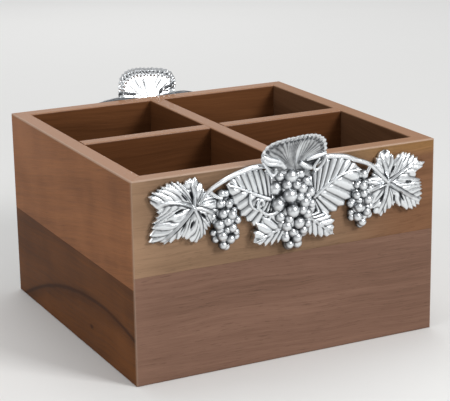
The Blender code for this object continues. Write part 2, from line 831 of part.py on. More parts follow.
def make_ornament_pieces():
    """Everything that the casting is poured as, standing on the plane y = 0."""
    vine_leaf("left_vine_leaf", spot_at(LEFT_HUB_shares), LEFT_OUTLINE_shares, LEFT_VEINS)
    vine_leaf("right_vine_leaf", spot_at(RIGHT_HUB_shares), RIGHT_OUTLINE_shares, RIGHT_VEINS)
    top_leaf("top_leaf", spot_at(TOP_LEAF_HUB_shares))
    for name, routes, fans in (
        ("left_ribbed_leaf", LEFT_RIBBED_shares, LEFT_FAN_shares),
        ("right_ribbed_leaf", RIGHT_RIBBED_shares, RIGHT_FAN_shares),
    ):
        ribbed_leaf(name, routes, RIBBED_STAND, fans, RIBBED_CROWN, RIBS)
    for name, routes in (("left_low_leaf", LEFT_LOW_shares), ("right_low_leaf", RIGHT_LOW_shares)):
        ribbed_leaf(name, routes, LOW_LEAF_STAND, LOW_FAN_shares, LOW_LEAF_CROWN, LOW_LEAF_RIBS)
    cluster(
        "main_cluster",
        spot_at(MAIN_CLUSTER_shares),
        MAIN_CLUSTER_HALF_WIDTH,
        MAIN_CLUSTER_HALF_HEIGHT,
        MAIN_CLUSTER_DEPTH,
        MAIN_CORE_share,
        MAIN_GRAPE_shares,
    )
    cluster(
        "left_cluster",
        spot_at(LEFT_CLUSTER_shares),
        LEFT_CLUSTER_HALF_WIDTH,
        LEFT_CLUSTER_HALF_HEIGHT,
        SMALL_CLUSTER_DEPTH,
        SMALL_CORE_share,
        LEFT_GRAPE_shares,
    )
    cluster(
        "right_cluster",
        spot_at(RIGHT_CLUSTER_shares),
        RIGHT_CLUSTER_HALF_WIDTH,
        RIGHT_CLUSTER_HALF_HEIGHT,
        SMALL_CLUSTER_DEPTH,
        SMALL_CORE_share,
        RIGHT_GRAPE_shares,
    )
    make_stems()


def cast_mesh(wall_gap):
    """The ornament fused into one casting, flat at the back and drilled for its screws."""
    pieces = bpy.data.collections[PIECES]
    core = bpy.data.objects["main_cluster_core"]
    casting = add_object("casting", core.data.copy(), CUTTERS)
    pieces.objects.unlink(core)
    fuse = casting.modifiers.new("fused", "BOOLEAN")
    fuse.operation = "UNION"
    fuse.solver = "MANIFOLD"
    fuse.operand_type = "COLLECTION"
    fuse.collection = pieces
    behind = cutter_box("casting_back", (-WIDTH, 0, -HEIGHT), (WIDTH, WALL, 2 * HEIGHT))
    boolean(casting, "DIFFERENCE", behind)
    for number, place in enumerate(screw_places(), 1):
        hole = turned(f"casting_hole_{number}", screw_profile(FIT), CUTTERS)
        hole.location = place + Vector((0, DEPTH / 2 + wall_gap, 0))
        hole.rotation_euler.x = math.radians(HEAD_ANGLE)
        boolean(casting, "DIFFERENCE", hole)
    bpy.context.view_layer.update()
    mesh = bpy.data.meshes.new_from_object(casting.evaluated_get(bpy.context.evaluated_depsgraph_get()))
    for helper in [casting, core, behind] + list(pieces.objects):
        bpy.data.objects.remove(helper)
    for helper in [obj for obj in bpy.data.objects if obj.name.startswith("casting_hole")]:
        bpy.data.objects.remove(helper)
    bpy.data.collections.remove(pieces)
    bm = bmesh.new()
    bm.from_mesh(mesh)
    bmesh.ops.dissolve_limit(bm, angle_limit=math.radians(FLAT_ANGLE), verts=bm.verts, edges=bm.edges)
    bm.to_mesh(mesh)
    bm.free()
    return mesh


def make_castings(sides):
    """One casting on the front and its copy, turned half round, on the back."""
    make_ornament_pieces()
    mesh = cast_mesh(FIT)
    mesh.shade_smooth()
    mesh.set_sharp_from_angle(angle=math.radians(SHARP_ANGLE))
    metal = finish("cast_metal", (0.62, 0.62, 0.63), CAST_ROUGHNESS, 1.0)
    for name in ("front", "back"):
        casting = add_object(name + "_casting", mesh, CADDY, metal, sides[name])
        casting.location = (0, -DEPTH / 2 - FIT, 0)
        make_screws(name, sides[name])


def main():
    clear_scene()
    sides = make_walls()
    make_base()
    make_dividers()
    make_castings(sides)
    bpy.context.view_layer.update()


main()
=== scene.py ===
"""Looks of the flatware caddy: lacquered boards, and a vine ornament in antique silver.

Metres, +Z up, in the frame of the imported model. Each piece of the ornament is shaped once in
front of the front wall, and a copy of it is turned half round for the back.
"""

import math

import bmesh
import bpy
import numpy as np
from bpy.props import FloatProperty, FloatVectorProperty, IntProperty, PointerProperty
from mathutils import Matrix, Vector


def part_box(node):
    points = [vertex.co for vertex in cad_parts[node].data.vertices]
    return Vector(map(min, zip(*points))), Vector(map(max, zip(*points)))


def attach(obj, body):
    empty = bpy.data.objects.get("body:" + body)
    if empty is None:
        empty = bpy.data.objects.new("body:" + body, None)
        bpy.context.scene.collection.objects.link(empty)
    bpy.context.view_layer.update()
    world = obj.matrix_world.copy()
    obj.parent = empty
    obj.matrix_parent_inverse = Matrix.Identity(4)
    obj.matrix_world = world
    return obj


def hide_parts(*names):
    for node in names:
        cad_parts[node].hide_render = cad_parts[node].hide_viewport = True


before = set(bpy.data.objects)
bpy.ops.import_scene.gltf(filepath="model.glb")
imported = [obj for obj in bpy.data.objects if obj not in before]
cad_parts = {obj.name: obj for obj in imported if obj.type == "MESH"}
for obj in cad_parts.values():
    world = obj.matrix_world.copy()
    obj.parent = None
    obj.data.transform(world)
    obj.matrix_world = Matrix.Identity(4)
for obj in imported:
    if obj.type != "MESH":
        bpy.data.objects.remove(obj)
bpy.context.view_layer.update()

bl_info = {
    "name": "Flatware Caddy Looks",
    "version": (1, 0, 0),
    "blender": (4, 5, 0),
    "location": "3D View > Sidebar > Caddy",
    "description": "Wood, steel and silver finishes, and the vine ornament of a flatware caddy",
    "category": "Object",
}

# The frame's own sizes
WALL_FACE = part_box("front_upper_board")[0].y
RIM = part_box("front_upper_board")[1].z
HALF_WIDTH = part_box("right_upper_board")[1].x
HALF_DEPTH = -WALL_FACE
WALL_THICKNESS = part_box("right_upper_board")[1].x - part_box("right_upper_board")[0].x

BODY = "root"
MM = 0.001

# Camera: place, turn in degrees, lens and sensor in millimetres
CAMERA_PLACE = (-0.5598, -1.1393, 0.4597)
CAMERA_TURN = (73.917, 0.860, -26.773)
CAMERA_LENS = 127.62
CAMERA_SENSOR = 36.0

# Softboxes: name, place, size, and the setting that holds the power
LIGHTS = (
    ("key_light", (0.75, -1.35, 1.05), 0.55, "key_power"),
    ("fill_light", (-1.5, -0.35, 0.9), 1.0, "fill_power"),
    ("top_light", (0.1, 0.5, 1.7), 1.0, "fill_power"),
    ("rim_light", (0.45, 1.5, 0.75), 0.8, "rim_power"),
)

# Floor: its half size, and how far out its glow starts and is full
FLOOR_HALF_SIZE = 6.0
GLOW_START = 0.25
GLOW_FULL = 1.9

# Boards: node, tone, grain axis, slope of the grain, seed, strength of the broad figure
BOARDS = (
    ("front_upper_board", "golden", "X", 0.02, 1.3, 0.48),
    ("front_lower_board", "pinkish", "X", -0.03, 5.1, 0.36),
    ("left_upper_board", "pale", "Y", -0.20, 9.7, 0.36),
    ("left_lower_board", "dark", "Y", -0.05, 14.2, 0.6),
    ("right_upper_board", "golden", "Y", 0.04, 18.9, 0.70),
    ("right_lower_board", "pinkish", "Y", 0.02, 23.4, 0.85),
    ("back_upper_board", "pale", "X", -0.05, 27.7, 0.70),
    ("back_lower_board", "dark", "X", 0.04, 31.8, 0.80),
    ("long_divider", "russet", "X", 0.03, 36.3, 0.60),
    ("cross_divider", "russet", "Y", -0.02, 41.9, 0.60),
    ("base_panel", "russet", "X", 0.0, 47.2, 0.50),
)

# Waves to the metre of a board's noises, along its grain, through it and up it
DRIFT_WAVES = (7.0, 9.0, 18.0)
FIGURE_WAVES = (3.0, 20.0, 34.0)
PORE_WAVES = (110.0, 1500.0, 1500.0)
CLOUD_WAVES = (26.0, 1.0, 20.0)
GRAIN_DRIFT = 16 * MM

# The same for streaks and fine lines, through and up it in waves to one grain pitch
STREAK_WAVES = (9.0, 1.0, 0.8)
LINE_WAVES = (40.0, 3.0, 3.0)

# Shares of a board's tone: dark grain, light grain, pores, painted sheen at the left end, warm right end,
# gold at the rim
DEEP_SHARES = (0.38, 0.34, 0.31)
LIGHT_SHARE = 1.45
PORE_SHARE = 0.3
PAINTED_SHEEN_SHARE = 1.85
WARM_SHARES = (0.86, 0.69, 0.60)
GOLD_SHARES = (1.35, 1.45, 1.1)

# Painted shade inside the box, and the painted highlight on the edges
PAINTED_INSIDE_SHADE = (0.110, 0.042, 0.016)
PAINTED_EDGE_HIGHLIGHT = (0.46, 0.33, 0.25)

# Arched streak of the left lower board: its top back and up, its bends, width, and the shadow below it
ARCH_TOP = (-0.060, 0.0440)
ARCH_BEND_BEHIND = 1.45
ARCH_BEND_BEFORE = 1.8
STREAK_WIDTH = 1.5 * MM
SHADOW_DROP = 3.0 * MM
SHADOW_WIDTH = 6.0 * MM

# Knot of that board: its place back and up, and its half sizes
KNOT_PLACE = (-0.041, 0.020)
KNOT_HALF_SIZES = (2.8 * MM, 1.6 * MM)

# Heights of the finest relief: wood grain, turning marks and cast skin
GRAIN_RELIEF = 0.06 * MM
TURNING_RELIEF = 0.02 * MM
SKIN_RELIEF = 0.12 * MM

# Leaves: places of the hubs, across from the middle and up from the table, in millimetres
LEFT_HUB = (-82.0, 133.0)
RIGHT_HUB = (84.0, 129.3)
TOP_HUB = (0.6, 152.0)

# Outlines of the vine leaves, across and up from the hub, in millimetres
LEFT_OUTLINE = (
    (-35.1, 10.5), (-32.4, 15.0), (-27.6, 16.7), (-22.4, 19.2), (-16.4, 20.8), (-10.3, 20.0),
    (-6.9, 17.9), (-5.6, 20.2), (-1.6, 22.1), (3.6, 20.9), (7.0, 16.0), (7.8, 12.6), (13.0, 9.4),
    (17.4, 6.3), (20.3, 1.7), (19.8, -6.5), (17.1, -9.4), (14.3, -15.6), (10.7, -16.8), (8.8, -22.3),
    (5.2, -25.1), (-0.1, -26.8), (-5.3, -23.0), (-10.5, -20.6), (-15.8, -22.6), (-22.8, -24.0),
    (-28.8, -22.3), (-33.5, -23.2), (-34.7, -18.9), (-33.2, -11.7), (-30.9, -5.5), (-28.2, -1.9),
    (-28.5, 1.4), (-31.8, 6.0),
)
RIGHT_OUTLINE = (
    (-11.2, 16.0), (-6.9, 23.0), (-1.4, 26.7), (3.0, 22.8), (6.2, 17.5), (12.4, 21.6), (19.3, 20.2),
    (25.7, 17.1), (29.0, 14.0), (34.1, 10.5), (29.1, 6.8), (24.7, 4.6), (26.7, 1.5), (30.6, -2.3),
    (32.0, -9.2), (32.2, -15.9), (31.7, -20.3), (27.2, -23.1), (19.6, -24.8), (13.2, -21.6),
    (6.8, -17.9), (1.8, -21.6), (-4.4, -26.2), (-9.4, -24.4), (-13.2, -19.4), (-14.7, -14.7),
    (-15.3, -9.5), (-18.3, -4.4), (-19.3, -0.4), (-17.7, 4.6), (-13.5, 6.9), (-13.0, 10.5),
)

# Main veins of the vine leaves: start angle at the hub, bend on the way out, and reach in millimetres
LEFT_VEINS = ((86, 10, 20), (146, 26, 34), (226, -5, 38), (300, -16, 24), (352, -18, 18))
RIGHT_VEINS = ((97, 8, 22), (34, -8, 34), (325, 3, 34), (258, -6, 23), (190, 8, 15))

# Dark slots pierced between the veins, darkened with patina and painted shade: across and up from the hub,
# half length, half width, angle
LEFT_SLOTS = (
    (-12.9, -0.9, 3.4, 0.7, 20),
    (-2.4, 10.0, 2.8, 0.8, 110),
    (7.6, -6.8, 2.8, 0.9, -48),
    (-2.7, -12.7, 2.6, 0.8, 75),
    (-8.0, 9.0, 3.4, 0.5, 130),
    (-9.6, -13.6, 4.4, 0.5, 62),
)
RIGHT_SLOTS = (
    (18.8, -1.5, 2.6, 0.9, -8),
    (5.8, -12.9, 2.6, 0.9, 82),
    (4.4, 10.4, 2.8, 0.8, 55),
    (-5.6, -11.4, 3.6, 0.5, 62),
    (13.0, -13.3, 4.0, 0.5, -62),
)

# Relief of the vine leaves
BLADE_STAND = 4.4 * MM
BLADE_FALL = 0.6 * MM
BLADE_CROWN = 1.9 * MM
BLADE_ROLL = 0.55 * MM
GROOVE_PLACE = 1.75 * MM
GROOVE_WIDTH = 0.55 * MM
GROOVE_DEPTH = 0.5 * MM
SIDE_VEIN_HEIGHT = 0.85 * MM
SLOT_DEPTH = 2.2 * MM
EDGE_DROP = 1.1 * MM
TOOTH_SIZE = 0.10
UNDERCUT = 1.0 * MM

# Outline of the leaf over the rim, across and up from its hub, in millimetres
TOP_OUTLINE = (
    (19.5, 2.0), (25.0, 5.6), (24.9, 11.6), (23.4, 18.2), (20.7, 23.0), (14.9, 26.9), (9.2, 28.4),
    (2.0, 28.6), (-5.9, 27.8), (-15.5, 26.9), (-23.6, 25.4), (-28.6, 22.7), (-30.6, 18.8),
    (-30.6, 14.0), (-28.5, 10.0), (-25.0, 5.5), (-20.0, 1.5), (-12.0, -1.0), (0.0, -1.6), (8.0, -1.2),
)

# Its points round and out, and its relief
TOP_SPOKES = 360
TOP_RINGS = 40
TOP_STAND = 7.4 * MM
TOP_LEAN = 17.0 * MM
TOP_HEIGHT = 39 * MM
TOP_THICKNESS = 1.7 * MM
BEAD_PERIOD = 7.5
BEAD_HEIGHT = 1.3 * MM
PIT_DEPTH = 1.5 * MM
TOP_VEIN_ANGLE = 97
TOP_VEIN_HEIGHT = 1.2 * MM

# Folds at the foot of that leaf: route across and up, stand from the wall, and half thickness
TOP_FOLDS = (
    (((-28.4, 166.4), (-23.6, 163.2), (-17.4, 161.2), (-11.6, 159.4)), 11.0, 2.0),
    (((-27.8, 163.6), (-23.0, 159.6), (-17.0, 158.6), (-11.6, 156.6)), 10.4, 1.8),
    (
        ((-28.2, 161.4), (-24.2, 156.0), (-21.8, 151.8), (-19.6, 150.2), (-17.2, 152.2), (-17.0, 155.4)),
        9.8,
        1.5,
    ),
    (((-16.0, 162.4), (-12.0, 157.8), (-8.6, 154.0)), 9.8, 2.3),
    (((3.4, 157.0), (8.8, 153.8), (14.0, 151.6)), 9.6, 2.4),
    (((8.8, 158.6), (13.6, 159.6), (19.4, 160.6), (26.0, 161.6)), 9.8, 1.9),
    (
        (
            (25.8, 161.8), (24.8, 157.4), (21.6, 153.0), (17.6, 150.0), (15.2, 151.4), (17.0, 155.0),
            (20.6, 158.8),
        ),
        10.2,
        1.3,
    ),
)

# Ribbed leaves and low leaves: midrib from base to tip, upper and lower margins beside it, in millimetres
LEFT_RIBBED = (
    ((-19, 130.8), (-26.5, 133.6), (-35.2, 137.9), (-42.4, 141.6), (-48.6, 144.6), (-55.4, 146.6)),
    ((-18, 148), (-23, 153), (-31, 156), (-38.5, 155.6), (-45.7, 153.6), (-51.1, 150.6), (-55.4, 146.6)),
    (
        (-19.8, 108.4), (-28.1, 109.7), (-34.5, 113.2), (-39, 117.2), (-44.3, 122.2), (-46.6, 127),
        (-49.9, 133), (-52.7, 139.2), (-55.4, 146.6),
    ),
)
RIGHT_RIBBED = (
    ((16.5, 126.8), (23.1, 131.4), (30.3, 136.2), (38.7, 140.8), (47.2, 143.4), (59.6, 143.6)),
    ((14.8, 142.8), (21.9, 150.4), (29, 154.8), (36.2, 156.2), (45.9, 154), (53.2, 150), (59.6, 143.6)),
    (
        (17.1, 118.8), (24.3, 112.3), (31.6, 111.3), (40, 114.4), (47.3, 118.8), (53.4, 124.5),
        (56.2, 129.6), (58.2, 136), (59.6, 143.6),
    ),
)
LEFT_LOW = (
    ((-4.4, 110.1), (-11, 107.9), (-18.4, 105.2), (-27, 101.9), (-34.4, 99.6)),
    ((-5, 116.5), (-11, 118.5), (-18.3, 119.4), (-25.7, 117.6), (-32, 111.6), (-34.4, 99.6)),
    ((-3.5, 101.6), (-9.2, 98.8), (-14.7, 97.2), (-19.4, 96.4), (-24, 96.2), (-29.5, 97.2), (-34.4, 99.6)),
)
RIGHT_LOW = (
    ((9.5, 114.5), (15, 110.8), (21.5, 105.9), (28, 100.8), (34.2, 96)),
    ((17, 117.5), (24, 114.2), (30.5, 111.6), (34.6, 108), (35, 102), (34.2, 96)),
    ((7.5, 107), (9.9, 101.8), (14.2, 98.4), (18.9, 96.4), (24.9, 95), (30, 94.8), (34.2, 96)),
)

# Those leaves: name, routes, fans of the two halves, stand, crown, ribs, notch, midrib's half thickness
RIBBED_LEAVES = (
    ("left_ribbed_leaf", LEFT_RIBBED, (0.64, 0.45), 4.4, 2.4, 8, 0.10, 1.7),
    ("right_ribbed_leaf", RIGHT_RIBBED, (0.53, 0.38), 4.4, 2.4, 8, 0.10, 1.2),
    ("left_low_leaf", LEFT_LOW, (0.6, 0.55), 6.2, 1.9, 6, 0.42, 0.9),
    ("right_low_leaf", RIGHT_LOW, (0.6, 0.55), 6.2, 1.9, 6, 0.22, 0.9),
)
POINTS_PER_RIB = 14
POINTS_ACROSS = 24

# Their relief: a crease beside the midrib, a drop at the margin, and the length of a full rib
CREASE_PLACE = 1.9 * MM
CREASE_WIDTH = 0.7 * MM
CREASE_DEPTH = 0.4 * MM
MARGIN_DROP = 0.9 * MM
FULL_RIB = 9 * MM

# Grapes: place across and up, and radius, in millimetres
MAIN_GRAPES = (
    (-2.6, 146.6, 6.0), (-11.0, 147.0, 4.6), (-15.7, 138.6, 5.8), (-5.2, 132.8, 6.0),
    (-14.2, 126.4, 5.8), (-3.5, 120.9, 5.6), (-12.9, 116.9, 4.4), (1.8, 110.9, 4.9), (-8.0, 109.4, 4.5),
    (5.4, 136.9, 4.7), (10.4, 141.0, 4.3), (6.9, 126.2, 4.8), (14.0, 132.4, 4.4), (6.0, 147.2, 4.5),
    (9.4, 116.6, 4.4), (1.4, 98.6, 4.4), (-3.6, 93.4, 3.8), (-8.0, 99.9, 4.0), (-3.0, 104.0, 3.7),
    (-6.6, 140.6, 4.5), (10.4, 108.6, 3.7), (6.6, 104.0, 3.8), (14.4, 123.4, 4.0), (0.9, 139.9, 4.1),
    (-17.9, 131.6, 3.8), (2.9, 131.0, 3.9), (14.0, 138.6, 3.5), (-6.2, 114.6, 3.8), (4.8, 120.4, 3.9),
)
LEFT_GRAPES = (
    (-59.2, 140.0, 3.7), (-61.4, 133.0, 3.6), (-55.0, 132.4, 3.4), (-60.0, 125.9, 3.9),
    (-52.9, 124.4, 4.1), (-62.8, 117.7, 4.3), (-47.6, 118.9, 3.4), (-52.4, 114.2, 3.8),
    (-60.4, 108.6, 4.2), (-53.4, 105.2, 3.8), (-58.9, 100.9, 3.5), (-66.4, 123.4, 3.2),
    (-56.7, 119.6, 3.6), (-66.0, 111.2, 3.0), (-48.6, 110.0, 3.0),
)
RIGHT_GRAPES = (
    (62.4, 138.9, 4.1), (60.2, 130.7, 4.0), (54.8, 123.8, 3.6), (64.4, 119.4, 4.1), (51.0, 117.0, 3.5),
    (56.4, 114.2, 4.0), (63.6, 109.6, 3.9), (56.0, 106.4, 3.9), (60.6, 101.4, 3.8), (55.4, 131.6, 3.1),
    (66.9, 127.2, 3.4), (51.6, 109.8, 2.9), (60.4, 124.6, 3.5), (67.6, 113.2, 3.0),
)

# Bunches: name, middle, half width and height, depth, grapes that stand out, pitch of those half hidden
BUNCHES = (
    ("main_bunch", (0.0, 120.0), (19.0, 31.5), 10.5, MAIN_GRAPES, 8.4),
    ("left_bunch", (-56.0, 119.5), (11.5, 23.5), 7.4, LEFT_GRAPES, 6.4),
    ("right_bunch", (60.0, 119.0), (10.5, 23.0), 7.4, RIGHT_GRAPES, 6.4),
)

# Half hidden grapes: how far out they lie, and their radius and stand as shares of the pitch and depth
HIDDEN_SPREAD = 0.86
HIDDEN_RADIUS = 0.52
HIDDEN_STAND = 0.72

# Ground behind the main bunch: middle, half width and height, depth and relief
BACKING = ((-1.5, 141.0), (21.0, 14.5), 6.0, -0.12)
GROUND_STAND = 0.6 * MM

# Core of a bunch as shares of its half sizes and depth, and the relief of the darkest parts
CORE_SHARES = (0.74, 0.86, 0.8)
DARK_RELIEF = -0.56

# Vine: routes across and up, in millimetres
STEM_ROUTE = (
    (-80, 135.5), (-71, 144), (-58, 150.4), (-44, 154.8), (-30, 157), (-14, 155.5), (0, 153),
    (13, 155.5), (28, 157.3), (36, 156.8), (46, 155), (56, 151), (66, 147), (72, 142), (78, 135.5),
    (84, 129),
)
LEFT_STALK = ((-71, 145), (-67, 141.5), (-62.5, 138), (-59, 137))
RIGHT_STALK = ((68, 145), (66, 142), (64.5, 139.5), (63.5, 137))
TENDRIL_ROUTE = ((-37.2, 138.2), (-37.9, 133.1), (-36.4, 128.4), (-33, 125.2), (-30.6, 124.6))
CURL_ROUTE = (
    (-28.3, 127.6), (-26.9, 129.4), (-27.8, 131.8), (-30.2, 132), (-31.7, 129.6), (-31, 126),
    (-27.6, 122.6), (-23.1, 120.4), (-18.5, 120.6), (-14.4, 123),
)

# Points along the smooth curves, and round a bar
COURSE_STEPS = 60
BAR_SIDES = 20

# Kinds of settings
LENGTH = {"subtype": "DISTANCE", "unit": "LENGTH"}
POWER = {"subtype": "POWER", "unit": "POWER"}


def colour(name, description, default):
    """A setting that is a colour."""
    return FloatVectorProperty(
        name=name, description=description, subtype="COLOR", default=default, min=0, max=1
    )


def measure(name, description, default, limits, **kind):
    """A setting that is one number between two limits."""
    least, most = limits
    return FloatProperty(name=name, description=description, default=default, min=least, max=most, **kind)


class CaddyWoodSettings(bpy.types.PropertyGroup):
    """Tones and grain of the boards."""

    golden: colour("Golden tan", "Tone of the front's upper board", (0.25, 0.158, 0.098))
    pinkish: colour("Pinkish brown", "Tone of the front's lower board", (0.205, 0.118, 0.084))
    pale: colour("Pale brown", "Tone of the left side's upper board", (0.272, 0.112, 0.045))
    dark: colour("Dark brown", "Tone of the left side's lower board", (0.118, 0.042, 0.011))
    russet: colour("Russet", "Tone of the dividers and the base panel", (0.20, 0.095, 0.05))
    # The rim tone is the top faces' own redder tone, made paler to paint the light they catch from above
    rim: colour("Rim", "Tone of the sanded top edges", (0.375, 0.192, 0.102))
    lacquer_roughness: measure(
        "Lacquer roughness", "How matt the satin lacquer is", 0.38, (0, 1), subtype="FACTOR"
    )
    grain_pitch: measure(
        "Grain pitch", "Usual distance between two fine streaks", 0.0022, (0.0005, 0.01), **LENGTH
    )


class CaddyCastingSettings(bpy.types.PropertyGroup):
    """Relief and finish of the cast ornament."""

    bright: colour("Polished silver", "Colour of the polished high places", (0.80, 0.825, 0.845))
    patina: colour("Patina", "Colour of the blackened recesses", (0.098, 0.102, 0.109))
    vein_height: measure(
        "Vein height", "How far a main vein rises from the blade at the hub", 0.0013, (0, 0.003), **LENGTH
    )
    vein_width: measure("Vein width", "Half width of a main vein", 0.00082, (0.0003, 0.003), **LENGTH)
    side_vein_pitch: measure(
        "Side vein pitch", "Distance between two side veins of a leaf", 0.0071, (0.001, 0.01), **LENGTH
    )
    rib_height: measure(
        "Rib height", "How far the ribs of the broad leaves rise", 0.0011, (0, 0.003), **LENGTH
    )
    leaf_spokes: IntProperty(
        name="Leaf spokes", description="Points around a vine leaf", default=260, min=60, max=400
    )
    leaf_rings: IntProperty(
        name="Leaf rings", description="Rings of points from hub to edge", default=34, min=8, max=60
    )


class CaddyStageSettings(bpy.types.PropertyGroup):
    """Floor and light."""

    floor_tone: colour("Floor", "Colour of the floor", (0.82, 0.82, 0.81))
    far_glow: measure("Far glow", "Light that the camera sees on the floor far off", 0.2, (0, 1))
    surround: measure("Surround", "Strength of the light from all round", 0.42, (0, 2))
    key_power: measure("Key light", "Power of the large softbox", 19.0, (0, 200), **POWER)
    rim_power: measure("Rim light", "Power of the softbox behind the caddy", 1.5, (0, 200), **POWER)
    fill_power: measure("Fill light", "Power of the second softbox", 7.0, (0, 200), **POWER)


class Socket:
    """An output in a material's node tree. Maths on it, written as Python, adds Math nodes."""

    def __init__(self, tree, link=None):
        self.tree = tree
        self.link = link

    def node(self, kind, settings=None, inputs=None, output=0):
        """Any other node: its settings first, then the values or links of its sockets."""
        made = self.tree.nodes.new(kind)
        for name, value in (settings or {}).items():
            setattr(made, name, value)
        for name, value in (inputs or {}).items():
            if isinstance(value, Socket):
                self.tree.links.new(value.link, made.inputs[name])
            else:
                made.inputs[name].default_value = value
        return Socket(self.tree, made.outputs[output])

    def math(self, operation, *values):
        return self.node("ShaderNodeMath", {"operation": operation}, dict(enumerate(values)))

    def __add__(self, other):
        return self.math("ADD", self, other)

    def __radd__(self, other):
        return self.math("ADD", other, self)

    def __sub__(self, other):
        return self.math("SUBTRACT", self, other)

    def __rsub__(self, other):
        return self.math("SUBTRACT", other, self)

    def __mul__(self, other):
        return self.math("MULTIPLY", self, other)

    def __rmul__(self, other):
        return self.math("MULTIPLY", other, self)

    def __truediv__(self, other):
        return self.math("DIVIDE", self, other)

    def __abs__(self):
        return self.math("ABSOLUTE", self)

    def step(self, low, high):
        """0 up to low, 1 from high on, and a smooth rise between them."""
        settings = {"interpolation_type": "SMOOTHSTEP"}
        inputs = {"Value": self, "From Min": low, "From Max": high}
        return self.node("ShaderNodeMapRange", settings, inputs)

    def mix(self, first, second, blend="MIX"):
        """A colour between two, with this socket as the factor, or as far towards their product."""
        settings = {"data_type": "RGBA", "blend_type": blend}
        return self.node("ShaderNodeMix", settings, {0: self, 6: first, 7: second}, 2)

    def bell(self):
        """1 where this socket is 0, with a smooth fall to both sides."""
        return self.math("EXPONENT", self * self * -1.0)

    def noise(self, place, waves, detail, roughness=0.5):
        """Noise at a place of three coordinates, each with its own number of waves."""
        scaled_place = {axis: part * wave for axis, part, wave in zip("XYZ", place, waves)}
        vector = self.node("ShaderNodeCombineXYZ", None, scaled_place)
        inputs = {"Vector": vector, "Scale": 1.0, "Detail": detail, "Roughness": roughness}
        return self.node("ShaderNodeTexNoise", None, inputs)

    def coordinates(self):
        """Object coordinates, as three numbers."""
        place = self.node("ShaderNodeTexCoord", None, None, "Object")
        return [self.node("ShaderNodeSeparateXYZ", None, {0: place}, axis) for axis in "XYZ"]


def rgba(color):
    return (*color, 1.0)


def scaled(color, share):
    """A colour times a share, no part of it over 1."""
    return rgba([min(part * share, 1.0) for part in color])


def new_finish(name, constants):
    """A material with its constants set: it, its Principled shader and a socket to start maths from."""
    material = bpy.data.materials.new(name)
    material.use_nodes = True
    shader = material.node_tree.nodes["Principled BSDF"]
    for socket, value in constants.items():
        shader.inputs[socket].default_value = value
    return material, shader, Socket(material.node_tree)


def connect(value, shader, name):
    value.tree.links.new(value.link, shader.inputs[name])


def bump(height, distance, strength=1.0):
    """A normal roughened by a height, with the height's own distance in metres."""
    inputs = {"Height": height, "Distance": distance, "Strength": strength}
    return height.node("ShaderNodeBump", None, inputs)


def wood_finish(name, tone, axis, slope, seed, figure):
    """Lacquered wood with its grain along one axis: streaks, broader figure, pores, painted shade inside
    and painted edge highlights.
    """
    settings = bpy.context.scene.caddy_wood
    color = getattr(settings, tone)
    constants = {"Specular IOR Level": 0.03, "Coat Roughness": 0.22}
    material, shader, ground = new_finish(name + "_wood", constants)
    x, y, z = ground.coordinates()
    along = (x if axis == "X" else y) + seed
    through = y if axis == "X" else x
    level = z - along * slope
    drift = ground.noise((along, through, level), DRIFT_WAVES, 2.0)
    level = level + (drift - 0.5) * GRAIN_DRIFT
    place = (along, through, level)
    pitched = (along, through / settings.grain_pitch, level / settings.grain_pitch)
    broad = ground.noise(place, FIGURE_WAVES, 3.0, 0.55)
    streaks = ground.noise(pitched, STREAK_WAVES, 4.0, 0.62)
    lines = ground.noise(pitched, LINE_WAVES, 2.0)
    pores = ground.noise(place, PORE_WAVES, 1.0).step(0.62, 0.74)
    shade = (broad - 0.5) * 1.5 * figure + (streaks - 0.5) * figure + (lines - 0.5) * 0.3
    if name == "left_lower_board":
        shade = shade - arch_and_knot(y, z)
    if name.startswith("left"):
        shade = shade + (ground.noise((y, x, z), CLOUD_WAVES, 2.0) - 0.5) * 0.5
    deep = rgba([part * share for part, share in zip(color, DEEP_SHARES)])
    wood = (shade + 0.5).step(-0.15, 1.15).mix(deep, scaled(color, LIGHT_SHARE))
    wood = (pores * 0.3).mix(wood, scaled(color, PORE_SHARE))
    wood = own_tones(name, color, wood, x, y, z)
    # Painted shade: the faces inside the box are darker, where little light falls
    inner = (shade + 0.5).step(-0.3, 1.3).mix(scaled(PAINTED_INSIDE_SHADE, 0.45), scaled(PAINTED_INSIDE_SHADE, 1.6))
    wood = (inside(x, HALF_WIDTH) * inside(y, HALF_DEPTH)).mix(wood, inner)
    # The rim tone is the top faces' own redder tone, made paler to paint the light they catch from above
    rim = z.step(RIM - 1.1 * MM, RIM - 0.3 * MM)
    wood = (rim * 0.85).mix(wood, rgba(settings.rim))
    # Painted highlight along the rounded outer edges and upright corners
    wood = painted_edge_highlights(x, y, z).mix(wood, rgba(PAINTED_EDGE_HIGHLIGHT))
    connect(wood, shader, "Base Color")
    connect(streaks * 0.16 + (settings.lacquer_roughness - 0.08), shader, "Roughness")
    connect(bump(lines * 0.5 + streaks * 0.5 - pores * 0.8, GRAIN_RELIEF), shader, "Normal")
    connect(rim * 0.2 + 0.015, shader, "Coat Weight")
    return material


def own_tones(name, color, wood, x, y, z):
    """What single boards add to the wood: painted sheen at the front's left end and the left side's far
    top, and a warm right end.
    """
    if name.startswith("front"):
        # Painted sheen: the front boards are paler towards their left end, as a reflection in the lacquer
        sheen_left_end = (x * -1.0).step(0.100, 0.136) * (0.32 if "upper" in name else 0.12)
        wood = sheen_left_end.mix(wood, scaled(color, PAINTED_SHEEN_SHARE))
    if name == "left_upper_board":
        # Painted sheen: the left side's upper board is paler at its far top
        sheen_far_top = y.step(0.0, 0.13) * z.step(0.105, RIM) * 0.3
        wood = sheen_far_top.mix(wood, rgba([part * 1.3 + 0.04 for part in color]))
    if name == "front_upper_board":
        right_end = x.step(0.02, 0.115)
        wood = right_end.mix(wood, rgba(WARM_SHARES), "MULTIPLY")
        below_rim = right_end * z.step(RIM - 14 * MM, RIM - 4 * MM)
        wood = below_rim.mix(wood, rgba(GOLD_SHARES), "MULTIPLY")
    return wood


def inside(across, half_size):
    """1 between the inner faces of two facing walls, and 0 outside them."""
    face = half_size - WALL_THICKNESS
    return 1 - abs(across).step(face - 0.3 * MM, face + 0.6 * MM)


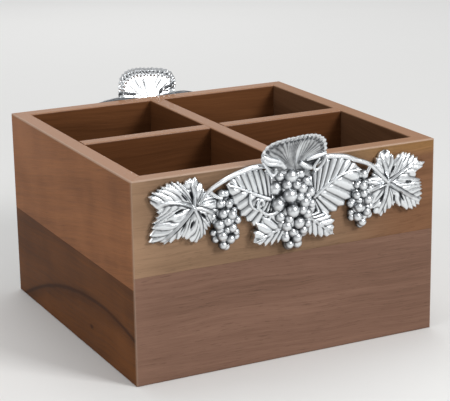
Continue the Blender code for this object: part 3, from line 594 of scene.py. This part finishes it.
def painted_edge_highlights(x, y, z):
    """Painted highlight on the rounded edges: most along the outer edges of the rim, less along the upright
    corners.
    """
    corner_line = HALF_WIDTH + HALF_DEPTH
    corner = (abs(x) + abs(y)).step(corner_line - 1.8 * MM, corner_line - 0.8 * MM)
    outer = x.math("MAXIMUM", abs(x) - HALF_WIDTH, abs(y) - HALF_DEPTH).step(-1.9 * MM, -1.2 * MM)
    rim_edge_highlight = outer * z.step(RIM - 1.4 * MM, RIM - 0.8 * MM)
    return x.math("MAXIMUM", rim_edge_highlight * 0.6, corner * 0.5)


def arch_and_knot(y, z):
    """How dark the left lower board's figure is: an arched streak, and a small knot below it."""
    away = y - ARCH_TOP[0]
    behind = away.math("MAXIMUM", away, 0.0)
    before = away.math("MINIMUM", away, 0.0)
    height = ARCH_TOP[1] - behind * behind * ARCH_BEND_BEHIND - before * before * ARCH_BEND_BEFORE
    streak = ((z - height) / STREAK_WIDTH).bell() * 0.5
    shadow = ((z - height + SHADOW_DROP) / SHADOW_WIDTH).bell() * 0.22
    knot_y = (y - KNOT_PLACE[0]) / KNOT_HALF_SIZES[0]
    knot_z = (z - KNOT_PLACE[1]) / KNOT_HALF_SIZES[1]
    knot = away.math("EXPONENT", (knot_y * knot_y + knot_z * knot_z) * -1.0) * 0.75
    return streak + shadow + knot


def steel_finish():
    """Bright steel of the screws, with fine turning marks."""
    material, shader, ground = new_finish("turned_steel", {"Metallic": 1.0})
    marks = ground.noise(ground.coordinates(), [1800.0] * 3, 2.0)
    connect(marks.mix(rgba((0.42, 0.42, 0.43)), rgba((0.66, 0.66, 0.67))), shader, "Base Color")
    connect(marks * 0.2 + 0.22, shader, "Roughness")
    connect(bump(marks, TURNING_RELIEF), shader, "Normal")
    return material


def silver_finish():
    """Antique silver: polished high places, patina in the recesses, and a faint cast skin."""
    settings = bpy.context.scene.caddy_casting
    material, shader, ground = new_finish("vine_silver", {"Metallic": 1.0})
    place = ground.coordinates()
    relief = ground.node("ShaderNodeAttribute", {"attribute_name": "relief"}, None, "Fac")
    skin = ground.noise(place, [420.0] * 3, 3.0, 0.6)
    cloud = ground.noise(place, [130.0] * 3, 2.0)
    polish = (relief + (cloud - 0.5) * 0.5 + (skin - 0.5) * 0.35).step(-0.75, 0.25)
    connect(polish.mix(rgba(settings.patina), rgba(settings.bright)), shader, "Base Color")
    connect(0.5 - polish * 0.21 + (skin - 0.5) * 0.1, shader, "Roughness")
    connect(bump(skin, SKIN_RELIEF, 0.6), shader, "Normal")
    return material


def floor_finish():
    """Plain pale floor with a hardly visible mottle, and a faint glow far from the caddy."""
    settings = bpy.context.scene.caddy_stage
    material, shader, ground = new_finish("stage_floor", {"Roughness": 0.9, "Emission Strength": 1.0})
    x, y, z = ground.coordinates()
    mottle = ground.noise((x, y, z), (6.0, 6.0, 1.0), 2.0)
    tone = settings.floor_tone
    connect(mottle.mix(scaled(tone, 0.985), rgba(tone)), shader, "Base Color")
    apart = x * x + y * y
    far = apart.math("SQRT", apart).step(GLOW_START, GLOW_FULL)
    rays = ("Is Camera Ray", "Is Glossy Ray", "Is Transmission Ray")
    camera, glossy, through = (ground.node("ShaderNodeLightPath", None, None, ray) for ray in rays)
    seen = camera.math("MAXIMUM", camera.math("MAXIMUM", camera, glossy), through)
    glow = (far * seen).mix(rgba((0, 0, 0)), rgba([settings.far_glow] * 3))
    connect(glow, shader, "Emission Color")
    return material


def clamp(value):
    """A relief kept between -1 and 1."""
    return max(min(value, 1.0), -1.0)


def hump(distance, width):
    """1 where the distance is 0, with a smooth fall to both sides."""
    return math.exp(-((distance / width) ** 2))


def steady(value):
    """A measure that is the same all along a route."""
    return lambda share: value


def relief_layer(bm):
    """The layer of each point's relief, from -1 in a recess to 1 on a crest."""
    return bm.verts.layers.float.get("relief") or bm.verts.layers.float.new("relief")


def polar(points):
    """Angles in degrees and reaches in metres of outline points given in millimetres about a hub."""
    pairs = []
    for across, up in points:
        pairs.append((math.degrees(math.atan2(up, across)), math.hypot(across, up) * MM))
    pairs.sort()
    return [angle for angle, _ in pairs], [reach for _, reach in pairs]


def on_outline(flat_x, flat_y, angles, reaches):
    """A point of the unit disc as a share of the way out, an angle, and the outline's reach there."""
    share = min(math.hypot(flat_x, flat_y), 1.0)
    angle = math.degrees(math.atan2(flat_y, flat_x))
    return share, angle, float(np.interp(angle, angles, reaches, period=360))


def draw_out(bm, edges):
    """Draws edges of a sheet out, and gives the new points and the new edges on its boundary."""
    drawn = bmesh.ops.extrude_edge_only(bm, edges=edges)["geom"]
    verts = [item for item in drawn if isinstance(item, bmesh.types.BMVert)]
    return verts, [item for item in drawn if isinstance(item, bmesh.types.BMEdge) and item.is_boundary]


def unit_disc(spokes, rings):
    """A flat disc of radius 1, made of rings drawn in from its rim."""
    bm = bmesh.new()
    bmesh.ops.create_circle(bm, segments=spokes, radius=1)
    edges = bm.edges[:]
    for ring in range(rings - 1, 0, -1):
        verts, edges = draw_out(bm, edges)
        bmesh.ops.scale(bm, vec=[ring / (ring + 1)] * 3, verts=verts)
    middle = bmesh.ops.edgeloop_fill(bm, edges=edges)["faces"]
    bmesh.ops.poke(bm, faces=middle)
    return bm


def mould(bm, rule):
    """Moves points by a rule that turns two flat coordinates into across, stand, up and relief."""
    layer = relief_layer(bm)
    for vert in bm.verts:
        across, stand, up, relief = rule(vert.co.x, vert.co.y)
        vert[layer] = clamp(relief)
        vert.co = (across, WALL_FACE - stand, up)


def back_flat(bm):
    """Closes a sheet in front of the wall with a flat back."""
    verts, edges = draw_out(bm, [edge for edge in bm.edges if edge.is_boundary])
    for vert in verts:
        vert.co.y = WALL_FACE - UNDERCUT
    bmesh.ops.edgeloop_fill(bm, edges=edges)


def cast_piece(name, bm):
    """A finished piece of the front casting, and its copy turned half round for the back casting."""
    bmesh.ops.recalc_face_normals(bm, faces=bm.faces)
    for side, turn in (("front", 0), ("back", 180)):
        mesh = bpy.data.meshes.new(f"{side}_{name}")
        copy = bm.copy()
        turned = Matrix.Rotation(math.radians(turn), 3, "Z")
        bmesh.ops.rotate(copy, cent=(0, 0, 0), matrix=turned, verts=copy.verts)
        copy.to_mesh(mesh)
        copy.free()
        mesh.shade_smooth()
        mesh.set_sharp_from_angle(angle=math.radians(55))
        mesh.materials.append(silver())
        piece = bpy.data.objects.new(mesh.name, mesh)
        bpy.context.scene.collection.objects.link(piece)
        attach(piece, BODY)
        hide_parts(f"{side}_casting")
    bm.free()


def silver():
    return bpy.data.materials.get("vine_silver") or silver_finish()


def rounded_ridge(phase):
    """A row of round ridges with sharp valleys between them: 1 on a crest and 0 in a valley."""
    return abs(math.cos(math.pi * phase)) ** 0.8


def slot_depth(across, up, slots):
    """How deep the nearest pierced slot is at a place: 1 in its middle."""
    deepest = 0.0
    for slot_across, slot_up, half_length, half_width, angle in slots:
        turn = math.radians(angle)
        away_x = across / MM - slot_across
        away_z = up / MM - slot_up
        lengthways = away_x * math.cos(turn) + away_z * math.sin(turn)
        sideways = away_z * math.cos(turn) - away_x * math.sin(turn)
        deepest = max(deepest, math.exp(-((lengthways / half_length) ** 4) - (sideways / half_width) ** 2))
    return deepest


def nearest_vein(angle, share, veins):
    """The vein closest to a place: the angle from it, its reach in metres and its start angle."""
    found = []
    for start, bend, reach in veins:
        apart = (angle - start - bend * share + 180) % 360 - 180
        found.append((apart, reach * MM, start))
    return min(found, key=lambda vein: abs(vein[0]))


def vine_leaf(hub, outline, veins, slots):
    """A lobed and toothed leaf: raised main veins, slanting side veins, pierced slots, rounded edge."""
    settings = bpy.context.scene.caddy_casting
    angles, reaches = polar(outline)
    bm = unit_disc(settings.leaf_spokes, settings.leaf_rings)

    def rule(flat_x, flat_y):
        share, angle, reach = on_outline(flat_x, flat_y, angles, reaches)
        radius = share * reach
        turn = math.radians(angle)
        apart, length, start = nearest_vein(angle, share, veins)
        off_vein = radius * abs(math.sin(math.radians(max(min(apart, 90), -90))))
        along_vein = radius * math.cos(math.radians(apart))
        stray = 0.2 * math.sin(angle * 0.14 + start) + 0.1 * math.sin(angle * 0.3)
        slant = 1.3 if apart > 0 else 1.0
        pitch = settings.side_vein_pitch * (0.88 + 0.24 * (start * 0.37 % 1))
        phase = (along_vein - slant * off_vein - 24 * off_vein**2) / pitch + stray
        side_vein = rounded_ridge(phase)
        roll = math.sin(angle * 0.12 + start) * math.sin(4.5 * share)
        blade = min(max((off_vein - 1.2 * MM) / (2.0 * MM), 0.0), 1.0)
        vein = hump(off_vein, settings.vein_width) * max(1 - (along_vein / length) ** 4 * 0.8, 0.0)
        # A groove beside each vein, deeper and darker on one side: patina, and painted shadow on that side
        groove = hump(off_vein - GROOVE_PLACE, GROOVE_WIDTH) * (1 - share**3)
        groove *= 1.0 if apart > 0 else 0.55
        slot = slot_depth(radius * math.cos(turn), radius * math.sin(turn), slots)
        point = 1 - abs(2 * (phase % 1) - 1)
        radius *= 1 + TOOTH_SIZE * (0.55 - point) * min(blade + 0.3, 1.0) * share**4
        crown = BLADE_CROWN * math.sin(math.pi * min(share * 0.94 + 0.03, 1.0)) ** 0.8
        full = min(share * 2.2, 1.0)
        edge = max((share - 0.95) / 0.05, 0.0) ** 2
        stand = BLADE_STAND - BLADE_FALL * share + crown + BLADE_ROLL * roll
        stand += settings.vein_height * vein - GROOVE_DEPTH * groove
        stand += SIDE_VEIN_HEIGHT * (side_vein - 0.6) * blade * full
        stand -= SLOT_DEPTH * slot + EDGE_DROP * edge
        relief = (side_vein - 0.52) * 1.7 * blade * full
        # Slots are darkened: patina, and painted shade in the opening
        relief = relief + vein * 1.4 - groove * 1.3 + 0.25 * roll - 2.0 * slot
        across = hub[0] * MM + radius * math.cos(turn)
        up = hub[1] * MM + radius * math.sin(turn)
        return across, stand, up, relief

    mould(bm, rule)
    back_flat(bm)
    return bm


def top_leaf():
    """The broad leaf over the rim: a bowl that leans out to a beaded edge, with folds at its foot."""
    bm = unit_disc(TOP_SPOKES, TOP_RINGS)
    angles, reaches = polar(TOP_OUTLINE)

    def rule(flat_x, flat_y):
        share, angle, reach = on_outline(flat_x, flat_y, angles, reaches)
        turn = math.radians(angle)
        raised = max(math.sin(turn), 0.0) ** 0.3
        lines = rounded_ridge(angle / 5.6 + 0.8 * math.sin(angle * 0.09 + 5 * share) + 2.2 * share)
        roll = math.sin(angle * 0.16 + 2.4 * share) * math.sin(3.2 * share)
        bead = math.cos(math.pi * angle / BEAD_PERIOD) ** 2
        near_rim = hump(share - 0.965, 0.045) * raised
        inside_rim = hump(share - 0.875, 0.04) * raised
        vein = hump(angle - TOP_VEIN_ANGLE + 14 * share, 4.0) * max(1 - share**2 * 1.5, 0.0)
        radius = share * reach * (1 + 0.04 * (bead - 0.6) * near_rim)
        across = TOP_HUB[0] * MM + radius * math.cos(turn)
        up = TOP_HUB[1] * MM + radius * math.sin(turn)
        rise = max(up - TOP_HUB[1] * MM, 0.0) / TOP_HEIGHT
        blade = min(share * 1.5, 1.0)
        stand = TOP_STAND + TOP_LEAN * rise**1.3
        stand += BEAD_HEIGHT * near_rim * bead - PIT_DEPTH * inside_rim * (1 - bead)
        stand += (0.25 * (lines - 0.6) + 0.7 * roll) * MM * blade * (1 - near_rim) + TOP_VEIN_HEIGHT * vein
        relief = (lines - 0.75) * 0.45 - 0.3 + 0.12 * roll + 1.8 * near_rim * (0.15 + 0.85 * bead)
        relief = relief + 1.2 * vein - 2.4 * inside_rim * (1 - bead) ** 2
        side = max(math.cos(turn) - 0.75, 0.0) * 4 * blade * (1 - near_rim)
        return across, stand, up, relief - 0.4 * side

    mould(bm, rule)
    made = bmesh.ops.extrude_face_region(bm, geom=bm.faces[:])["geom"]
    verts = [item for item in made if isinstance(item, bmesh.types.BMVert)]
    bmesh.ops.translate(bm, vec=(0, TOP_THICKNESS, -TOP_THICKNESS), verts=verts)
    layer = relief_layer(bm)
    for vert in verts:
        vert[layer] = 0.1
    for points, stand, radius in TOP_FOLDS:
        bar(bm, points, steady(stand), spindle(radius), 60, 0.05)
    return bm


def course(points):
    """A smooth course through flat points in millimetres: it turns a share of the length into a place."""
    knots = [Vector(point) * MM for point in points]
    fine = [spline_point(knots, step / COURSE_STEPS) for step in range(COURSE_STEPS + 1)]
    lengths = [0.0]
    for first, second in zip(fine, fine[1:]):
        lengths.append(lengths[-1] + (second - first).length)
    shares = [length / lengths[-1] for length in lengths]
    across = [point.x for point in fine]
    up = [point.y for point in fine]

    def place_at(share):
        return Vector((float(np.interp(share, shares, across)), float(np.interp(share, shares, up))))

    return place_at


def ribbed_half(bm, midrib, margin, fan, stand, crown, ribs, notch):
    """Half of a ribbed leaf: round ribs run from the midrib to the margin, whose edge steps with them."""
    rib_height = bpy.context.scene.caddy_casting.rib_height
    half = bmesh.new()
    bmesh.ops.create_grid(half, x_segments=ribs * POINTS_PER_RIB, y_segments=POINTS_ACROSS, size=0.5)
    along_midrib = course(midrib)
    along_margin = course(margin)

    def rule(flat_x, flat_y):
        share = min(max(flat_x + 0.5, 0.0), 1.0)
        side = flat_y + 0.5
        start = along_midrib(share ** (1 / fan))
        end = along_margin(share)
        rib = rounded_ridge(share * ribs)
        out = side * 1.03 - 0.03
        length = (end - start).length
        swell = min(length / FULL_RIB, 1.0)
        finger = 1 - abs(2 * ((share * ribs + 0.5) % 1) - 1)
        notched = 1 + notch * (finger - 0.6) * side**3 * swell
        place = start + (end - start) * out * notched
        blade = min(side * 5, 1.0) * swell
        crease = hump(out * length - CREASE_PLACE, CREASE_WIDTH) * swell
        lift = stand * MM + crown * MM * math.cos(side * math.pi / 2) ** 0.7 * swell
        lift += rib_height * (rib - 0.5) * blade - CREASE_DEPTH * crease
        lift -= MARGIN_DROP * max((side - 0.92) / 0.08, 0.0) ** 2
        # Painted shade towards the leaf's base, most beside the midrib
        root = max(0.55 - share, 0.0) * (1 - 0.6 * side)
        relief = (rib - 0.6) * 1.25 * blade - 0.6 * crease + 0.15 - 1.5 * root
        return place.x, lift, place.y, relief

    mould(half, rule)
    bmesh.ops.remove_doubles(half, verts=half.verts, dist=0.01 * MM)
    back_flat(half)
    join(bm, half)


def ribbed_leaf(routes, fans, stand, crown, ribs, notch, twig):
    """A broad pointed leaf: two ribbed halves, and a midrib like a twig laid over them."""
    midrib, *margins = routes
    bm = bmesh.new()
    for margin, fan in zip(margins, fans):
        ribbed_half(bm, midrib, margin, fan, stand, crown, ribs, notch)
    bar(bm, midrib, steady(stand + crown - 0.2), tapered(twig), 80, 0.05)
    return bm


def join(target, source):
    """Adds one bmesh to another, with its relief."""
    mesh = bpy.data.meshes.new("joined")
    source.to_mesh(mesh)
    target.from_mesh(mesh)
    source.free()
    bpy.data.meshes.remove(mesh)


def grape_pattern():
    """A grape of radius 1, its stalk end on the wall side: bright in front and dark towards its edge."""
    bm = bmesh.new()
    layer = relief_layer(bm)
    verts = bmesh.ops.create_uvsphere(bm, u_segments=24, v_segments=14, radius=1)["verts"]
    upright = Matrix.Rotation(math.radians(90), 3, "X")
    bmesh.ops.rotate(bm, verts=verts, cent=(0, 0, 0), matrix=upright)
    for vert in verts:
        facing = max(-vert.co.y, 0.0)
        vert[layer] = clamp(facing**2.6 + DARK_RELIEF)
    mesh = bpy.data.meshes.new("grape_pattern")
    bm.to_mesh(mesh)
    bm.free()
    return mesh


def add_grape(bm, pattern, centre, radius, spin):
    """A copy of the pattern at a place, with its own size and spin."""
    placed = Matrix.Translation(centre) @ Matrix.Rotation(spin, 4, "Y") @ Matrix.Scale(radius * MM, 4)
    pattern.transform(placed)
    bm.from_mesh(pattern)
    pattern.transform(placed.inverted())


def add_ground(bm, middle, half_sizes, depth, relief):
    """A low oval swelling on the wall, all of one relief, that fills the ground between other pieces."""
    layer = relief_layer(bm)
    for vert in bmesh.ops.create_uvsphere(bm, u_segments=32, v_segments=24, radius=1)["verts"]:
        vert[layer] = relief
        across = middle[0] * MM + vert.co.x * half_sizes[0] * MM
        up = middle[1] * MM + vert.co.z * half_sizes[1] * MM
        vert.co = (across, WALL_FACE + min(vert.co.y, 0.0) * depth * MM - GROUND_STAND, up)


def bunch(bm, middle, half_sizes, depth, grapes, pitch):
    """A bunch: a dark core on the wall, grapes half hidden on it, and the grapes that stand out."""
    core_sizes = (CORE_SHARES[0] * half_sizes[0], CORE_SHARES[1] * half_sizes[1])
    add_ground(bm, middle, core_sizes, CORE_SHARES[2] * depth, DARK_RELIEF)
    rows = int(2 * half_sizes[1] / pitch)
    columns = int(2 * half_sizes[0] / pitch) + 1
    pattern = grape_pattern()
    places = []
    for row in range(rows):
        away_z = (row + 0.5) / rows * 2 - 1
        for column in range(columns):
            away_x = ((column + 0.5 * (row % 2)) / columns * 2 - 1) * 0.96
            if away_x**2 + away_z**2 < HIDDEN_SPREAD:
                places.append((away_x, away_z, HIDDEN_RADIUS * pitch, HIDDEN_STAND))
    for across, up, radius in grapes:
        away_x = (across - middle[0]) / half_sizes[0]
        away_z = (up - middle[1]) / half_sizes[1]
        places.append((away_x, away_z, radius, 1.0))
    for number, (away_x, away_z, radius, fullness) in enumerate(places):
        stand = fullness * depth * math.sqrt(max(1 - away_x**2 - away_z**2, 0.0))
        stand = max(stand, radius * 0.75)
        across = middle[0] + away_x * half_sizes[0]
        up = middle[1] + away_z * half_sizes[1]
        add_grape(bm, pattern, Vector((across * MM, WALL_FACE - stand * MM, up * MM)), radius, number * 1.7)
    bpy.data.meshes.remove(pattern)


def spline_point(knots, share):
    """A place on the smooth curve through the knots."""
    spans = len(knots) - 1
    index = min(int(share * spans), spans - 1)
    t = share * spans - index
    before = knots[max(index - 1, 0)]
    first = knots[index]
    second = knots[index + 1]
    after = knots[min(index + 2, spans)]
    bend = (2 * before - 5 * first + 4 * second - after) * t**2
    twist = (3 * first - before - 3 * second + after) * t**3
    return (2 * first + (second - before) * t + bend + twist) / 2


def smooth_route(points, stand_at, steps):
    """Points at even steps of a smooth curve through flat points, each at its stand from the wall."""
    shares = np.linspace(0, 1, len(points))
    knots = []
    for (across, up), share in zip(points, shares):
        knots.append(Vector((across * MM, WALL_FACE - stand_at(share) * MM, up * MM)))
    return [spline_point(knots, step / (steps - 1)) for step in range(steps)]


def spindle(middle):
    """A half thickness that tapers from the middle of a route to both of its ends."""
    return lambda share: middle * math.sin(math.pi * (0.14 + 0.72 * share)) ** 0.7


def tapered(base):
    """A half thickness that tapers from the start of a route to its end."""
    return lambda share: base * (1 - 0.55 * share)


def stem_stand(share):
    """How far the stem's middle line stands from the wall, in millimetres: most at its ends."""
    return 4.8 + 2.9 * abs(2 * share - 1) ** 6


def stem_radius(share):
    """The stem's half thickness in millimetres: least at its ends."""
    return 1.95 - 0.6 * abs(2 * share - 1) ** 4


def bar(bm, points, stand_at, radius_at, stations, bark):
    """A bar along a route: a grid wrapped round it, drawn to a point at each end, with ridges of bark."""
    layer = relief_layer(bm)
    route = smooth_route(points, stand_at, stations)
    verts = bmesh.ops.create_grid(bm, x_segments=stations - 1, y_segments=BAR_SIDES, size=0.5)["verts"]
    for vert in verts:
        share = min(max(vert.co.x + 0.5, 0.0), 1.0)
        turn = (vert.co.y + 0.5) * 2 * math.pi
        index = round(share * (stations - 1))
        ahead = route[min(index + 1, stations - 1)]
        behind = route[max(index - 1, 0)]
        forward = (ahead - behind).normalized()
        outward = Vector((0, -1, 0))
        outward = (outward - forward * outward.dot(forward)).normalized()
        aside = forward.cross(outward)
        ends = math.sqrt(max(1 - (2 * share - 1) ** 16, 0.0))
        ridges = bark * math.cos(turn * 7 + 9 * share * math.sin(stations * share * 0.35))
        radius = radius_at(share) * MM * ends * (1 + ridges)
        facing = math.cos(turn)
        vert[layer] = clamp(0.9 * facing - 0.05 + ridges * 5.0)
        vert.co = route[index] + (outward * facing + aside * math.sin(turn)) * radius
    bmesh.ops.remove_doubles(bm, verts=verts, dist=0.01 * MM)


def paint(node, material):
    """Gives a piece of the frame its finish."""
    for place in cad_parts[node].material_slots:
        place.material = material


def softbox(name, place, size, power):
    """A square area light that faces the caddy."""
    light = bpy.data.lights.new(name, "AREA")
    light.size = size
    light.energy = power
    lamp = bpy.data.objects.new(name, light)
    lamp.location = place
    aim = Vector((0, 0, RIM / 2)) - Vector(place)
    lamp.rotation_euler = aim.to_track_quat("-Z", "Y").to_euler()
    bpy.context.scene.collection.objects.link(lamp)


class CADDY_OT_boards(bpy.types.Operator):
    """Finish the wall boards, the dividers and the base panel in lacquered wood"""

    bl_idname = "caddy.boards"
    bl_label = "Wooden boards"

    def execute(self, context):
        for node, tone, axis, slope, seed, figure in BOARDS:
            paint(node, wood_finish(node, tone, axis, slope, seed, figure))
        return {"FINISHED"}


class CADDY_OT_screws(bpy.types.Operator):
    """Finish the screws in steel"""

    bl_idname = "caddy.screws"
    bl_label = "Screws"

    def execute(self, context):
        steel = steel_finish()
        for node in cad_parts:
            if "_screw_" in node:
                paint(node, steel)
        return {"FINISHED"}


class CADDY_OT_vine_leaves(bpy.types.Operator):
    """Make the lobed vine leaves at both ends of each ornament"""

    bl_idname = "caddy.vine_leaves"
    bl_label = "Vine leaves"

    def execute(self, context):
        cast_piece("left_vine_leaf", vine_leaf(LEFT_HUB, LEFT_OUTLINE, LEFT_VEINS, LEFT_SLOTS))
        cast_piece("right_vine_leaf", vine_leaf(RIGHT_HUB, RIGHT_OUTLINE, RIGHT_VEINS, RIGHT_SLOTS))
        return {"FINISHED"}


class CADDY_OT_ribbed_leaves(bpy.types.Operator):
    """Make the broad ribbed leaves beside the large bunch, and the small leaves under them"""

    bl_idname = "caddy.ribbed_leaves"
    bl_label = "Ribbed leaves"

    def execute(self, context):
        for name, *shape in RIBBED_LEAVES:
            cast_piece(name, ribbed_leaf(*shape))
        return {"FINISHED"}


class CADDY_OT_top_leaf(bpy.types.Operator):
    """Make the leaf that rises over the rim"""

    bl_idname = "caddy.top_leaf"
    bl_label = "Top leaf"

    def execute(self, context):
        cast_piece("top_leaf", top_leaf())
        return {"FINISHED"}


class CADDY_OT_grapes(bpy.types.Operator):
    """Make the three bunches of grapes"""

    bl_idname = "caddy.grapes"
    bl_label = "Grapes"

    def execute(self, context):
        for name, *shape in BUNCHES:
            bm = bmesh.new()
            if name == "main_bunch":
                add_ground(bm, *BACKING)
            bunch(bm, *shape)
            cast_piece(name, bm)
        return {"FINISHED"}


class CADDY_OT_vine(bpy.types.Operator):
    """Make the stem, its stalks and the curling tendril"""

    bl_idname = "caddy.vine"
    bl_label = "Vine and tendril"

    def execute(self, context):
        bm = bmesh.new()
        bar(bm, STEM_ROUTE, stem_stand, stem_radius, 200, 0.07)
        for stalk in (LEFT_STALK, RIGHT_STALK):
            bar(bm, stalk, steady(5.0), steady(1.4), 30, 0.04)
        cast_piece("vine", bm)
        bm = bmesh.new()
        bar(bm, TENDRIL_ROUTE, steady(8.2), steady(1.15), 60, 0.0)
        bar(bm, CURL_ROUTE, steady(9.0), steady(1.2), 110, 0.0)
        cast_piece("tendril", bm)
        return {"FINISHED"}


class CADDY_OT_stage(bpy.types.Operator):
    """Set up the floor, the soft light and the camera"""

    bl_idname = "caddy.stage"
    bl_label = "Stage"

    def execute(self, context):
        settings = context.scene.caddy_stage
        bm = bmesh.new()
        bmesh.ops.create_grid(bm, x_segments=8, y_segments=8, size=FLOOR_HALF_SIZE)
        mesh = bpy.data.meshes.new("floor")
        bm.to_mesh(mesh)
        bm.free()
        mesh.materials.append(floor_finish())
        floor = bpy.data.objects.new("floor", mesh)
        context.scene.collection.objects.link(floor)
        for name, place, size, power in LIGHTS:
            softbox(name, place, size, getattr(settings, power))
        world = bpy.data.worlds.new("surround")
        world.use_nodes = True
        background = world.node_tree.nodes["Background"]
        background.inputs["Color"].default_value = (1, 1, 1, 1)
        background.inputs["Strength"].default_value = settings.surround
        context.scene.world = world
        camera = bpy.data.cameras.new("camera")
        camera.lens = CAMERA_LENS
        camera.sensor_width = CAMERA_SENSOR
        camera_object = bpy.data.objects.new("camera", camera)
        camera_object.location = CAMERA_PLACE
        camera_object.rotation_euler = [math.radians(turn) for turn in CAMERA_TURN]
        context.scene.collection.objects.link(camera_object)
        context.scene.camera = camera_object
        context.scene.view_settings.view_transform = "Standard"
        return {"FINISHED"}


class CADDY_PT_looks(bpy.types.Panel):
    """Lists what the caddy's looks are made of."""

    bl_label = "Flatware caddy"
    bl_idname = "CADDY_PT_looks"
    bl_space_type = "VIEW_3D"
    bl_region_type = "UI"
    bl_category = "Caddy"

    def draw(self, context):
        for group in ("caddy_wood", "caddy_casting", "caddy_stage"):
            settings = getattr(context.scene, group)
            box = self.layout.box()
            for name in settings.__annotations__:
                box.prop(settings, name)
        for operator in OPERATORS:
            self.layout.operator(operator.bl_idname)


GROUPS = (
    ("caddy_wood", CaddyWoodSettings),
    ("caddy_casting", CaddyCastingSettings),
    ("caddy_stage", CaddyStageSettings),
)
OPERATORS = (
    CADDY_OT_stage,
    CADDY_OT_boards,
    CADDY_OT_screws,
    CADDY_OT_vine_leaves,
    CADDY_OT_ribbed_leaves,
    CADDY_OT_top_leaf,
    CADDY_OT_grapes,
    CADDY_OT_vine,
)


def register():
    for name, group in GROUPS:
        bpy.utils.register_class(group)
        setattr(bpy.types.Scene, name, PointerProperty(type=group))
    for item in (*OPERATORS, CADDY_PT_looks):
        bpy.utils.register_class(item)


def unregister():
    for item in (CADDY_PT_looks, *reversed(OPERATORS)):
        bpy.utils.unregister_class(item)
    for name, group in reversed(GROUPS):
        delattr(bpy.types.Scene, name)
        bpy.utils.unregister_class(group)


def main():
    register()
    bpy.ops.caddy.stage()
    bpy.ops.caddy.boards()
    bpy.ops.caddy.screws()
    bpy.ops.caddy.vine_leaves()
    bpy.ops.caddy.ribbed_leaves()
    bpy.ops.caddy.top_leaf()
    bpy.ops.caddy.grapes()
    bpy.ops.caddy.vine()


if __name__ == "__main__":
    main()
